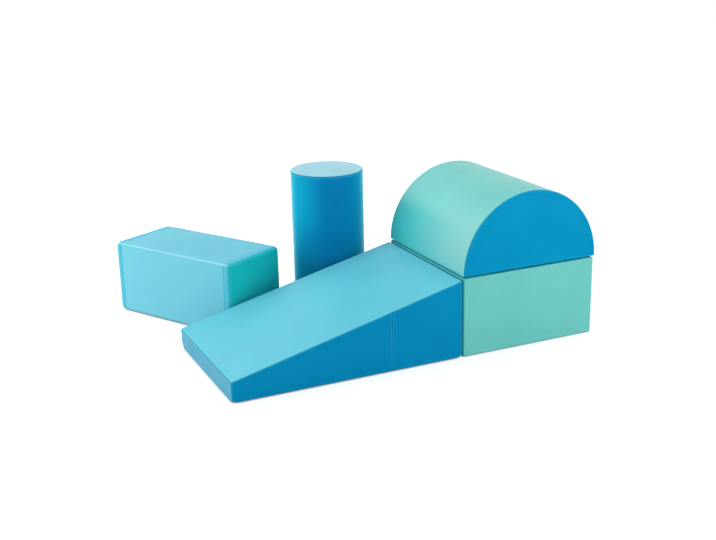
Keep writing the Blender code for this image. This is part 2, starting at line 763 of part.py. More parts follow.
def block_corners():
    """The long block's centre on the floor, and the corner of its right end that is far off.

    Its near right corner almost touches the ramp's far side.
    """
    along = Vector((cos(BLOCK_TURN), sin(BLOCK_TURN), 0))
    inward = Vector((-along.y, along.x, 0))
    low_end_x = -BASE_LENGTH / 2 - STRIP_STACK - RAMP_LENGTH
    corner = Vector((low_end_x + BLOCK_FROM_LOW_END, SET_WIDTH / 2 + FREE_GAP, 0))
    centre = corner - along * (BLOCK_LENGTH / 2) + inward * (BLOCK_DEPTH / 2)
    far_corner = corner + inward * BLOCK_DEPTH
    return centre, far_corner


def make_long_block():
    """The long block. One panel runs up its front, over its top and down its back."""
    centre, _ = block_corners()
    block = Block("block", centre, BLOCK_TURN)
    size = (BLOCK_LENGTH, BLOCK_DEPTH, BLOCK_HEIGHT)
    left, right, front, back, bottom, top = square_sides(size)
    for end in (left, right):
        for wall in (front, back, bottom, top):
            block.sew(end, wall)
    for wall in (front, back):
        block.sew(wall, bottom)
        block.fold(wall, top)
    run_over = [
        (front, (left, bottom, right, top)),
        (top, (left, front, right, back)),
        (back, (left, top, right, bottom)),
    ]
    zipped = folded_panel(block, "block_wrap_panel", run_over, SKY)
    sewn_panel(block, "block_left_panel", left, (back, bottom, front, top), TEAL)
    sewn_panel(block, "block_right_panel", right, (front, bottom, back, top), TEAL)
    sewn_panel(block, "block_underside", bottom, (left, back, right, front), NON_SLIP)
    square_core(block, size)
    fit_zip(block, back_zip_line(BLOCK_LENGTH, BLOCK_DEPTH), zipped)


def circle(radius, height, start):
    """Points round the cylinder at one height."""
    angles = [start + 2 * pi * k / CYLINDER_SEGMENTS for k in range(CYLINDER_SEGMENTS)]
    return [Vector((radius * cos(angle), radius * sin(angle), height)) for angle in angles]


def make_cylinder():
    """The upright cylinder. Its own origin is the centre of its foot."""
    _, far_corner = block_corners()
    place = Vector((
        far_corner.x + CYLINDER_FROM_BLOCK + CYLINDER_RADIUS,
        SET_WIDTH / 2 + FREE_GAP + CROWN_HEIGHT + CYLINDER_RADIUS,
        0,
    ))
    cylinder = Block("cylinder", place)
    drum = Round(CYLINDER_RADIUS)
    bottom = Plane((0, 0, -1), 0.0)
    top = Plane((0, 0, 1), CYLINDER_HEIGHT, CROWN_HEIGHT)
    cylinder.sew(drum, bottom)
    cylinder.sew(drum, top)
    back = pi / 2
    heights = stations(CYLINDER_HEIGHT, open_steps(CYLINDER_HEIGHT))

    def drum_lines(depth):
        radius = CYLINDER_RADIUS - depth
        seam = FIT_GAP / 2 / radius
        low = depth + FIT_GAP
        run = CYLINDER_HEIGHT - 2 * low
        levels = [low + run * height / CYLINDER_HEIGHT for height in heights]
        sweep = 2 * pi - 2 * seam
        steps = [back + seam + sweep * k / CYLINDER_SEGMENTS for k in range(CYLINDER_SEGMENTS + 1)]
        return [[Vector((radius * cos(a), radius * sin(a), z)) for z in levels] for a in steps]

    def disc(level, inwards):
        def ring(inset, depth):
            return circle(CYLINDER_RADIUS - inset - depth - FIT_GAP, level + inwards * depth, back)
        return ring

    wrap = wrap_panel(cylinder, "cylinder_wrap_panel", drum, (), drum_lines, BLUE)
    end_panel(cylinder, "cylinder_top_panel", top, (drum,), disc(CYLINDER_HEIGHT, -1), ICE)
    end_panel(cylinder, "cylinder_underside", bottom, (drum,), disc(0.0, 1), NON_SLIP)
    depth_in = COVER_THICKNESS + FIT_GAP
    profile = circle(CYLINDER_RADIUS - depth_in, depth_in, back)
    foam_core(cylinder, profile, Vector((0, 0, CYLINDER_HEIGHT - 2 * depth_in)))
    run = CYLINDER_HEIGHT - 2 * ZIP_END_MARGIN - ZIP_POCKET
    start = Vector((0, CYLINDER_RADIUS, CYLINDER_HEIGHT - ZIP_END_MARGIN))
    fit_zip(cylinder, ZipLine(start, (0, 0, -1), (0, 1, 0), run), wrap)


def main():
    for old in list(bpy.data.objects):
        bpy.data.objects.remove(old, do_unlink=True)
    make_base()
    make_ramp()
    make_arch()
    make_long_block()
    make_cylinder()


main()
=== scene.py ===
"""The looks of the soft play set: five foam blocks in covers sewn from padded vinyl.

Every cover panel is cut here as a flat pattern piece, triangulated finely along its seams, and
laid over its block, where it is rounded, drawn in at the seams, puckered and crowned. The zips,
strips, foam cores and non-slip undersides get their own detail.
"""

import json
from dataclasses import dataclass
from math import asin, cos, pi, radians, sin, sqrt, tau

import bmesh
import bpy
import numpy as np
from mathutils import Matrix, Vector
from mathutils.geometry import delaunay_2d_cdt


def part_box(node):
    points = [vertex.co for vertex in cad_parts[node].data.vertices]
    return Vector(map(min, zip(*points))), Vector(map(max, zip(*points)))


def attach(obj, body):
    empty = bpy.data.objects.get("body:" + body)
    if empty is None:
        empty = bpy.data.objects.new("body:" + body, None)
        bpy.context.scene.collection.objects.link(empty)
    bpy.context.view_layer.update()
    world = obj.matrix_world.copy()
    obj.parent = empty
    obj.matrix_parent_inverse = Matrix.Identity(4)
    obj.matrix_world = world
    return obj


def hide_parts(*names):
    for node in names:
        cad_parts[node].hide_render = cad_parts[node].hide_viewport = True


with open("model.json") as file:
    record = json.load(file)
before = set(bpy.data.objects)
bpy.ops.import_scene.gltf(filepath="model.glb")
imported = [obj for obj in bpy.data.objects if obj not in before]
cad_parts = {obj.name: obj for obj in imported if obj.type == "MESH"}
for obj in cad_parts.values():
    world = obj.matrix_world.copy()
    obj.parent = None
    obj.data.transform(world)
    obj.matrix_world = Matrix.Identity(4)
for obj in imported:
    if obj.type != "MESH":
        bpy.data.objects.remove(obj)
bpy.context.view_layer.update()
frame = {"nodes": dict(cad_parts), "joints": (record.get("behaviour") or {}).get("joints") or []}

# Metres throughout.
COVER_DEPTH = 0.0093
LINING_DEPTH = 0.0090
ZIPPED_LINING_DEPTH = 0.0070
SEAM_GAP = 0.00015
VAULT_SKIRT = 0.003

# How far each block's edges are rounded off.
ROUNDING = {"base": 0.003, "ramp": 0.005, "arch": 0.0035, "block": 0.012, "cylinder": 0.005}

# How far blocks' corners are worn down, and the heights between which that fades out.
WORN_CORNERS = {"ramp": (0.0036, 0.015, 0.045), "block": (0.0022, 1.0, 2.0)}
SOUND_CORNERS = (0.0, 1.0, 2.0)

# How wide the long block's seam allowances are, against the usual ones below.
ALLOWANCE = {"block": 1.5}

# A pattern piece has rings of points along its rim, and a plain grid inside them.
RIM_RINGS = (0, 0.0006, 0.0013, 0.0021, 0.0031, 0.0044, 0.006, 0.008, 0.0105, 0.0135, 0.017, 0.022)
RIM_STEP = 0.0055
OPEN_STEP = 0.010
LINING_STEP = 0.012
LINING_COLUMNS = 12
FOLD_LINES = (0, 0.0015, 0.003, 0.0045, 0.0062, 0.0082, 0.0108, 0.016)
SLOT_RINGS = (0, 0.0003, 0.0008, 0.0015, 0.0025, 0.0037, 0.0044, 0.0050, 0.0062, 0.0074, 0.009, 0.012)
SLOT_STEP = 0.004
SHARP_ANGLE = radians(40)

# Seams: a narrow groove, the raised band of the allowance behind the vinyl, a faint crease.
GROOVE_DEPTH = 0.0008
GROOVE_WIDTH = 0.0011
BAND_HEIGHT = 0.00055
BAND_START = (0.0015, 0.005)
BAND_END = (0.0105, 0.0145)
CREASE_DEPTH = 0.0004
CREASE_AT = 0.0155
CREASE_WIDTH = 0.0035
TENSION = 0.8
TENSION_SWING = 0.35
TENSION_LENGTH = 0.16
PUCKER_HEIGHT = 0.00030
PUCKER_LENGTH = 0.021
PUCKER_START = 0.004
PUCKER_REACH = 0.016
CORNER_REACH = 0.022
CORNER_WIDTH = 0.011
FOLD_RIDGE = 0.0005
FOLD_WIDTH = 0.0022
CROWN_HEIGHT = 0.0028
CROWN_REACH = 0.100
SWELL_HEIGHT = 0.00055
FLAT_SWELL = 0.35
SWELL_LENGTH = 0.19
SWELL_START = (0.004, 0.06)

# Zips. The chain's end stops stand above its teeth.
TAPE_OVERLAP = 0.0065
WELT_HEIGHT = 0.0007
WELT_END = (0.0065, 0.0081)
WELT_ROUNDING = 0.0015
STOP_LENGTH = 0.004
STOP_RISE = 0.0012
TOOTH_PITCH = 0.0025
TOOTH_THICKNESS = 0.00125
TOOTH_CROSSING = 0.0006
TAPE_EDGE = 0.0010
SELVEDGE = 0.0015
TAPE_RIB = 0.00025
RIB_HALF = 0.0008
RIB_OFF_CHAIN = 0.0014
METAL_ROUNDING = 0.00025

STITCH_FROM_EDGE = 0.0047
STITCH_GROOVE = 0.00035
STITCH_GROOVE_WIDTH = 0.0007
STITCH_LENGTH = 0.0030
STITCH_PITCH = 0.0043
STITCH_RADIUS = 0.00032

STRIP_HEM = 0.0030
HEM_SINK = 0.0004
EDGE_SINK = 0.0005
NAP_STEP = 0.002
NAP_HEIGHT = 0.00045

UNDERSIDE_SINK = 0.0017
ARCH_UNDERSIDE_SINK = 0.0006
DOT_PITCH = 0.016
DOT_RADIUS = 0.0026
DOT_SIDES = 7
DOT_MARGIN = 0.017

# Shares of a dot's radius, and their depths under the block's side.
DOT_LEVELS = ((1.0, 0.0026), (0.92, 0.0007), (0.62, 0.0002))

FOAM_ROUNDING = 0.0015

# Finishes, as linear colours.
WHITE = (1.0, 1.0, 1.0)
# The colour of the painted highlight along seams.
SEAM_HIGHLIGHT_CYAN = (0.10, 0.85, 1.0)
SKY = (0.129, 0.600, 0.735)
PALE_SKY = (0.172, 0.592, 0.728)
# A lighter copy of the long block's sky blue: painted light on its sides.
LIT_FRONT_SKY = (0.203, 0.673, 0.805)
BLUE = (0.001, 0.268, 0.520)
# A lighter copy of BLUE: painted light on the half-round's ends, which stand higher.
UPPER_LIT_BLUE = (0.001, 0.300, 0.560)
MINT = (0.140, 0.570, 0.530)
TEAL = (0.012, 0.548, 0.555)
ICE = (0.290, 0.640, 0.750)
GLEAM = (0.02, 0.85, 1.0)
# Painted sheen on the cylinder at grazing angles.
PAINTED_SHEEN_COLOUR = (0.42, 0.68, 0.80)
# A lighter copy of BLUE: painted reflection on the ramp's low end.
REFLECTION_LIT_BLUE = (0.001, 0.360, 0.550)
# A darker copy of BLUE: painted shade on the cylinder.
SHADED_WRAP_BLUE = (0.001, 0.203, 0.500)
# Painted light on the cylinder's lit side.
LIT_SIDE_BLUE = (0.001, 0.350, 0.600)
# Painted shade beside the long block's end seams.
END_SEAM_SHADE = (0.045, 0.540, 0.720)
# A lighter copy of MINT: painted light on the half-round's curve.
UPPER_LIT_MINT = (0.148, 0.600, 0.560)
# Painted light low toward the half-round's near end, and painted shade toward its far end and at its
# foot.
NEAR_LIT_MINT = (0.275, 0.670, 0.650)
FAR_SHADED_MINT = (0.014, 0.600, 0.590)

# Painted shade on panels that another block covers, with a paler lit colour along their seams.
SHADED_BLUE = (0.001, 0.110, 0.230)
SHADED_MINT = (0.006, 0.240, 0.250)
LIT_RIM_BLUE = (0.012, 0.420, 0.580)
LIT_RIM_MINT = (0.100, 0.600, 0.640)

TAPE_BLUE = (0.010, 0.115, 0.190)
TOOTH_BLUE = (0.018, 0.075, 0.125)
THREAD_BLUE = (0.150, 0.480, 0.600)
HOOK_BLUE = (0.012, 0.100, 0.175)
LOOP_BLUE = (0.016, 0.115, 0.185)

# Where the seam darkening, the painted highlights and the painted shade change beside seams and folds.
SEAM_DARKENING = (0.0002, 0.0010)
SEAM_HIGHLIGHT_BAND = ((0.0006, 0.0020), (0.0030, 0.0062))
LIT_RIM = (0.0045, 0.0080)
END_SHADE_STRIP = (0.012, 0.017)
END_CREASE_SHADE = ((0.014, 0.019), (0.022, 0.028))
FOLD_HIGHLIGHT = (0.0022, 0.0070)
WRAP_SEAM_DARKENING = (0.0020, 0.0032)
WRAP_HIGHLIGHT_BAND = ((0.0025, 0.0040), (0.0080, 0.0095))

# Where the painted light and shade change up and along the blocks, and the direction of the cylinder's
# painted lit side.
BLOCK_SHOULDER = (0.240, 0.252)
VAULT_LIT_HEIGHTS = (0.34, 0.50)
VAULT_LENGTH = (-0.26, 0.27)
VAULT_FOOT_SHADE = (0.266, 0.280)
WRAP_SHADE_HEIGHTS = (0.24, 0.38)
WRAP_SHEEN_FACING = (0.58, 0.92)
LIT_SIDE_DIRECTION = (-0.91, 0.41, 0.0)


def unit(vector):
    vector = np.asarray(vector, float)
    return vector / np.linalg.norm(vector)


def smooth(values, start, end):
    share = np.clip((values - start) / (end - start), 0, 1)
    return share * share * (3 - 2 * share)


def bell(values, width):
    return np.exp(-((values / width) ** 2))


def lengths(arms):
    """The lengths of many vectors, kept just above nothing so that they can divide."""
    return np.maximum(np.linalg.norm(arms, axis=1), 1e-9)


def extent(points):
    return points.min(axis=0), points.max(axis=0)


def waves(points, length, seed, count=7):
    """Irregular swell from about -1 to 1 over the points: a few sine waves that run every way."""
    chance = np.random.default_rng(seed)
    total = np.zeros(len(points))
    for _ in range(count):
        direction = unit(chance.normal(size=points.shape[1]))
        size = length * chance.uniform(0.7, 1.5)
        total += np.sin(points @ direction * tau / size + chance.uniform(0, tau))
    return total / sqrt(count)


class Flat:
    """A flat side of a block."""

    def __init__(self, direction, reach):
        self.direction = unit(direction)
        self.reach = reach

    def depth(self, points):
        return self.reach - points @ self.direction

    def normal(self, points):
        return np.broadcast_to(self.direction, points.shape)


@dataclass
class Round:
    """A round side: an upright drum, or a vault along Y above a straight skirt."""

    radius: float
    skirt: float = None

    def arm(self, points):
        arm = points.copy()
        if self.skirt is None:
            arm[:, 2] = 0
        else:
            arm[:, 1] = 0
            arm[:, 2] = np.maximum(arm[:, 2] - self.skirt, 0)
        return arm

    def depth(self, points):
        return self.radius - lengths(self.arm(points))

    def normal(self, points):
        arm = self.arm(points)
        return arm / lengths(arm)[:, None]


def shift_to(depth, normal, active, radius):
    """The least moves that bring points to one depth under their active sides."""
    moves = np.zeros((depth.shape[1], 3))
    for pattern in np.unique(active, axis=1).T:
        chosen = (active == pattern[:, None]).all(axis=0)
        if not pattern.any():
            continue
        rows = np.swapaxes(normal[pattern][:, chosen], 0, 1)
        wanted = (depth[pattern][:, chosen] - radius).T
        weights = np.linalg.solve(rows @ np.swapaxes(rows, 1, 2), wanted[..., None])
        moves[chosen] = (np.swapaxes(rows, 1, 2) @ weights)[..., 0]
    return moves


def rounded(points, sides, radius):
    """Points of a block's surface moved onto its rounded form, and the outward directions there."""
    depth = np.array([side.depth(points) for side in sides])
    normal = np.array([side.normal(points) for side in sides])
    touching = depth < 1e-6
    moves = shift_to(depth, normal, touching, radius)
    left = depth - np.einsum("knj,nj->kn", normal, moves)
    moves = shift_to(depth, normal, touching | (left < radius - 1e-9), radius)
    outward = -moves / lengths(moves)[:, None]
    return points + moves + outward * radius, outward


def rectangle(width, height):
    return np.array([(0, 0), (width, 0), (width, height), (0, height)], float)


class Sheet:
    """Lays a pattern piece on a flat side."""

    folds = ()

    def __init__(self, origin, across, up):
        self.origin = np.asarray(origin, float)
        self.across = unit(across)
        self.up = unit(up)
        self.out = np.cross(self.across, self.up)

    def place(self, flat, depth=0.0):
        on_side = flat[:, :1] * self.across + flat[:, 1:] * self.up
        return self.origin + on_side - self.out * depth

    def flatten(self, points):
        return np.stack([(points - self.origin) @ self.across, (points - self.origin) @ self.up], 1)

    def tucked(self, flat, depth):
        """Flat places as they are on the lining, which has less run round its folds."""
        return flat


class Sleeve(Sheet):
    """Lays a pattern piece up a square block's front, over its top and down its back."""

    def __init__(self, length, deep, height):
        self.length = length
        self.deep = deep
        self.height = height
        self.folds = (height, height + deep)

    def place(self, flat, depth=0.0):
        height = self.height - depth
        deep = self.deep - 2 * depth
        along = flat[:, 1]
        y = np.clip(along - height, 0, deep) - deep / 2
        z = np.minimum(np.minimum(along, 2 * height + deep - along), height)
        return np.stack([flat[:, 0] - self.length / 2, y, z], 1)

    def flatten(self, points):
        back = points[:, 1] > self.deep / 2 - 2 * COVER_DEPTH
        along = np.where(back, 2 * self.height + self.deep - points[:, 2], points[:, 2])
        return np.stack([points[:, 0] + self.length / 2, along], 1)

    def tucked(self, flat, depth):
        bends = [fold + side * depth for fold in self.folds for side in (-1, 1)]
        before = np.array([0, *bends, 2 * self.height + self.deep])
        gone = np.array([0, 0, 2, 2, 4, 4]) * depth
        return np.stack([flat[:, 0], np.interp(flat[:, 1], before, before - gone)], 1)


@dataclass
class Drum(Sheet):
    """Lays a pattern piece round an upright cylinder, from the back anticlockwise."""

    radius: float

    def place(self, flat, depth=0.0):
        angle = pi / 2 + flat[:, 0] / self.radius
        arm = self.radius - depth
        return np.stack([arm * np.cos(angle), arm * np.sin(angle), flat[:, 1]], 1)

    def flatten(self, points):
        """Flat places of points near the back."""
        return np.stack([-self.radius * np.arcsin(points[:, 0] / self.radius), points[:, 2]], 1)


class Vault(Sheet):
    """Lays a pattern piece over the half-round, from its right foot to its left."""

    def __init__(self, radius, skirt, width):
        self.radius = radius
        self.skirt = skirt
        self.width = width
        self.run = pi * radius + 2 * skirt

    def place(self, flat, depth=0.0):
        along = flat[:, 1]
        angle = np.clip((along - self.skirt) / self.radius, 0, pi)
        arm = self.radius - depth
        low = np.minimum(np.minimum(along, self.run - along) - self.skirt, 0)
        z = self.skirt + arm * np.sin(angle) + low
        return np.stack([arm * np.cos(angle), flat[:, 0] - self.width / 2, z], 1)


class Polygon:
    """A convex outline with straight edges. Butt edges are the other half of the same side."""

    def __init__(self, corners, mitres=(1, 1, 1, 1), butts=()):
        self.corners = np.asarray(corners, float)
        edges = np.roll(self.corners, -1, 0) - self.corners
        self.counts = [max(2, round(length / RIM_STEP)) for length in lengths(edges)]
        along = edges / lengths(edges)[:, None]
        self.inward = np.stack([-along[:, 1], along[:, 0]], 1)
        self.mitres = mitres
        self.butts = butts

    def distances(self, flat):
        return np.array([(flat - c) @ n for c, n in zip(self.corners, self.inward)])

    def ring(self, inset):
        moved = []
        for k, corner in enumerate(self.corners):
            rows = self.inward[[k - 1, k]]
            moved.append(np.linalg.solve(rows, rows @ corner + inset))
        return spaced_ring(np.array(moved), self.counts)

    def drawn_in(self, flat, depth):
        """Points of the rim at a depth behind it, on the mitres."""
        moved = flat.copy()
        for _ in range(3):
            for k, distance in enumerate(self.distances(moved)):
                wanted = SEAM_GAP if k in self.butts else depth * self.mitres[k] + SEAM_GAP
                moved += np.maximum(wanted - distance, 0)[:, None] * self.inward[k]
        return moved


@dataclass
class HalfDisc:
    """The half-round's end: a flat foot, and an arch over a short straight skirt."""

    radius: float
    skirt: float
    butts = ()

    def arm(self, flat):
        return np.stack([flat[:, 0], np.maximum(flat[:, 1] - self.skirt, 0)], 1)

    def distances(self, flat):
        return np.array([flat[:, 1], self.radius - lengths(self.arm(flat))])

    def ring(self, inset):
        radius = self.radius - inset
        start = asin(max(inset - self.skirt, 0.0) / radius)
        half = radius * cos(start)
        feet = round(2 * self.radius / RIM_STEP)
        foot = [(-half + 2 * half * k / feet, inset) for k in range(feet)]
        steps = round(pi * self.radius / RIM_STEP)
        angles = start + (pi - 2 * start) * np.arange(steps + 1) / steps
        arch = [(radius * cos(angle), self.skirt + radius * sin(angle)) for angle in angles]
        if inset < self.skirt:
            return np.array(foot + [(radius, inset)] + arch)
        return np.array(foot + arch[:-1])

    def drawn_in(self, flat, depth):
        moved = flat.copy()
        wanted = depth + SEAM_GAP
        for _ in range(3):
            arm = self.arm(moved)
            over = np.maximum(lengths(arm) - self.radius + wanted, 0)
            moved -= arm * (over / lengths(arm))[:, None]
            moved[:, 1] = np.maximum(moved[:, 1], wanted)
        return moved


@dataclass
class Disc:
    """The cylinder's end."""

    radius: float
    butts = ()

    def distances(self, flat):
        return np.array([self.radius - lengths(flat)])

    def ring(self, inset):
        return (self.radius - inset) * circle(round(tau * self.radius / RIM_STEP))

    def drawn_in(self, flat, depth):
        wanted = np.minimum(lengths(flat), self.radius - depth - SEAM_GAP)
        return flat * (wanted / lengths(flat))[:, None]


class Slot:
    """A zip's opening in a pattern piece, which may lie across the piece's own butt seam."""

    def __init__(self, low, high, wrap=None):
        self.wrap = wrap
        self.places = [(low, high)]
        if wrap is not None:
            self.places.append((low + (wrap, 0), high + (wrap, 0)))

    def distance(self, flat):
        """How far points are outside the opening, or negative inside it."""
        found = []
        for low, high in self.places:
            over = np.maximum(low - flat, flat - high)
            outside = np.linalg.norm(np.maximum(over, 0), axis=1)
            found.append(np.where(outside > 0, outside, over.max(axis=1)))
        return np.min(found, axis=0)

    def rings(self):
        """Closed rings of points at set distances round the opening."""
        for low, high in self.places:
            for gap in SLOT_RINGS:
                yield stepped_ring(low - gap, high + gap, SLOT_STEP)


def circle(count):
    """Points round a circle with a radius of 1."""
    turns = np.arange(count) * tau / count
    return np.stack([np.cos(turns), np.sin(turns)], 1)


def spaced_ring(corners, counts):
    """A closed outline's points: its corners, and others between them at equal distances."""
    points = []
    for start, end, count in zip(corners, np.roll(corners, -1, 0), counts):
        points.append(start + (end - start) * np.arange(count)[:, None] / count)
    return np.concatenate(points)


def stepped_ring(low, high, step):
    """Points about a step apart round a rectangle, from its low corner."""
    counts = [max(2, round(length / step)) for length in (*(high - low), *(high - low))]
    return spaced_ring(rectangle(*(high - low)) + low, counts)


def grid_inside(outline, margin, step):
    """Points of a square grid that lie further than a margin inside an outline."""
    low, high = extent(outline.ring(0.0))
    low = low + margin
    high = high - margin
    counts = np.maximum(np.round((high - low) / step).astype(int), 1)
    x = np.linspace(low[0], high[0], counts[0] + 1)
    y = np.linspace(low[1], high[1], counts[1] + 1)
    points = np.array([(a, b) for b in y for a in x])
    return points[outline.distances(points).min(axis=0) > margin - 1e-9]


class Pattern:
    """Points and edges gathered for one triangulation."""

    def __init__(self):
        self.points = []
        self.edges = []
        self.count = 0

    def add(self, points, edges=()):
        self.edges += [(self.count + int(a), self.count + int(b)) for a, b in edges]
        self.points.append(points)
        self.count += len(points)

    def add_line(self, points):
        self.add(points, [(k, k + 1) for k in range(len(points) - 1)])

    def add_ring(self, points, outline):
        """A closed ring, or only the stretches of it that lie inside an outline."""
        inside = outline.distances(points).min(axis=0) > SEAM_GAP - 1e-6
        rank = np.cumsum(inside) - 1
        after = np.roll(np.arange(len(points)), -1)
        edges = [(rank[k], rank[n]) for k, n in enumerate(after) if inside[k] and inside[n]]
        self.add(points[inside], edges)

    def triangulated(self, keeps):
        """Flat places, the triangles kept, and the place that each point went to."""
        points = [Vector(point) for point in np.concatenate(self.points)]
        found = delaunay_2d_cdt(points, self.edges, [], 0, 1e-7)
        flat = np.array([tuple(v) for v in found[0]])
        faces = np.array([f for f in found[2] if len(f) == 3])
        faces = faces[keeps(flat[faces].mean(axis=1))]
        went = {source: k for k, sources in enumerate(found[3]) for source in sources}
        first = flat[faces[:, 1]] - flat[faces[:, 0]]
        second = flat[faces[:, 2]] - flat[faces[:, 0]]
        area = first[:, 0] * second[:, 1] - first[:, 1] * second[:, 0]
        faces[area < 0] = faces[area < 0][:, ::-1]
        return flat, faces[np.abs(area) > 1e-12], went


@dataclass
class Panel:
    """One panel of a cover: its outline, how it lies on its block, and how its vinyl is shaped."""

    block: object
    lay: object
    outline: object
    crown: float = 0.0
    slot: object = None
    sink: float = 0.0
    seed: int = 1

    @property
    def lining_depth(self):
        return LINING_DEPTH if self.slot is None else ZIPPED_LINING_DEPTH

    def seam_distances(self, flat):
        """Distances along the rounded surface to each edge of the outline."""
        rounding = self.block.rounding
        found = []
        for k, distance in enumerate(self.outline.distances(flat)):
            distance = np.maximum(distance, 0)
            if k not in self.outline.butts:
                over = np.maximum(rounding - distance, 0) / rounding
                bent = rounding * (pi / 4 - np.arctan(over))
                straight = distance - rounding * (1 - pi / 4)
                distance = np.where(distance < rounding, bent, straight)
            found.append(distance)
        return found

    def fold_distances(self, flat):
        """Distances to each edge of the block that the panel is folded over."""
        return [np.abs(flat[:, 1] - fold) for fold in self.lay.folds]

    def surface(self, flat):
        """Points of the finished surface over flat ones, their directions and nearest seams."""
        points, outward = rounded(self.lay.place(flat), self.block.sides, self.block.rounding)
        height = np.full(len(flat), -self.sink)
        seams = self.seam_distances(flat)
        nearest = np.min(seams, axis=0)
        strength = TENSION + TENSION_SWING * waves(points, TENSION_LENGTH, self.seed)
        strength = strength * self.block.allowance * smooth(nearest, *BAND_START)
        lift = np.full(len(flat), self.crown)
        band = np.zeros(len(flat))
        crease = np.zeros(len(flat))
        for distance in seams:
            height -= GROOVE_DEPTH * bell(distance, GROOVE_WIDTH)
            share = distance / self.block.allowance
            band = np.maximum(band, smooth(share, *BAND_START) * (1 - smooth(share, *BAND_END)))
            crease = np.maximum(crease, bell(share - CREASE_AT, CREASE_WIDTH))
            lift = lift * smooth(distance, 0, CROWN_REACH)
        turned = [seam for k, seam in enumerate(seams) if k not in self.outline.butts]
        turned = np.sort(np.vstack([*turned, *self.fold_distances(flat)]), axis=0)
        if len(turned) > 1:
            strength = strength * smooth(turned[1], 0, CORNER_REACH)
            corner = bell(np.hypot(turned[0], turned[1]), CORNER_WIDTH)
            low = 1 - smooth(points[:, 2], *self.block.corner_fade)
            height -= self.block.corner_drop * corner * low
        height += (BAND_HEIGHT * band - CREASE_DEPTH * crease) * strength
        for distance in self.fold_distances(flat):
            height += FOLD_RIDGE * bell(distance, FOLD_WIDTH) * smooth(nearest, 0, CORNER_REACH)
            lift = lift * smooth(distance, 0, CROWN_REACH)
        ripple = waves(points, PUCKER_LENGTH, self.seed + 50) * np.exp(-nearest / PUCKER_REACH)
        height += PUCKER_HEIGHT * ripple * smooth(nearest, 0, PUCKER_START)
        swell = waves(points, SWELL_LENGTH, self.seed + 90) * smooth(nearest, *SWELL_START)
        height += lift + SWELL_HEIGHT * swell * (1.0 if self.crown else FLAT_SWELL)
        if self.slot is not None:
            height += self.hem_height(flat)
        return points + outward * height[:, None], outward, nearest

    def hem_height(self, flat):
        """The hem round a zip: folded double, rounded at its edge, drawn in under its stitches."""
        distance = np.maximum(self.slot.distance(flat), 0)
        hem = WELT_HEIGHT * (1 - smooth(distance, *WELT_END))
        over = np.clip(1 - distance / WELT_ROUNDING, 0, 1)
        roll = WELT_ROUNDING * (1 - np.sqrt(1 - over**2))
        return hem - roll - STITCH_GROOVE * bell(distance - STITCH_FROM_EDGE, STITCH_GROOVE_WIDTH)

    def is_cloth(self, centres):
        """Whether places are outside the zip's opening."""
        if self.slot is None:
            return np.ones(len(centres), bool)
        return self.slot.distance(centres) > 0

    def is_lining(self, centres):
        """The same for places on the lining, whose back stretch starts lower down."""
        moved = centres.copy()
        if self.lay.folds:
            moved[centres[:, 1] > np.mean(self.lay.folds), 1] += 4 * self.lining_depth
        return self.is_cloth(moved)

    def skin_pattern(self):
        """The flat points and triangles of the skin."""
        pattern = Pattern()
        for inset in RIM_RINGS:
            pattern.add_ring(self.outline.ring(inset + SEAM_GAP), self.outline)
        inner = grid_inside(self.outline, RIM_RINGS[-1] + 0.4 * OPEN_STEP, OPEN_STEP)
        if self.slot is not None:
            inner = inner[self.slot.distance(inner) > SLOT_RINGS[-1] + 0.4 * SLOT_STEP]
            for ring in self.slot.rings():
                pattern.add_ring(ring, self.outline)
        for fold in self.lay.folds:
            inner = inner[np.abs(inner[:, 1] - fold) > FOLD_LINES[-1] + 0.4 * OPEN_STEP]
            insets = np.array(RIM_RINGS) + SEAM_GAP
            middle = np.arange(RIM_RINGS[-1] + OPEN_STEP, self.lay.length - RIM_RINGS[-1], OPEN_STEP)
            columns = np.concatenate([insets, middle, self.lay.length - insets[::-1]])
            for gap in sorted({sign * gap for gap in FOLD_LINES for sign in (-1, 1)}):
                pattern.add_line(np.stack([columns, np.full(len(columns), fold + gap)], 1))
        pattern.add(inner)
        return pattern.triangulated(self.is_cloth)[:2]

    def lining_pattern(self, rim, loops):
        """The lining's flat points and triangles, and where its rim points went."""
        depth = self.lining_depth
        pattern = Pattern()
        pattern.add(self.lay.tucked(self.outline.drawn_in(rim, depth), depth), loops)
        inner = grid_inside(self.outline, 2.5 * LINING_DEPTH, LINING_STEP)
        if self.slot is not None:
            inner = inner[self.slot.distance(inner) > LINING_DEPTH]
        for fold in self.lay.folds:
            inner = inner[np.abs(inner[:, 1] - fold) > 2 * LINING_DEPTH]
            start = depth + 2 * SEAM_GAP
            columns = np.linspace(start, self.lay.length - start, LINING_COLUMNS)
            pattern.add_line(self.lay.tucked(np.array([(x, fold) for x in columns]), depth))
        pattern.add(self.lay.tucked(inner, depth))
        return pattern.triangulated(self.is_lining)

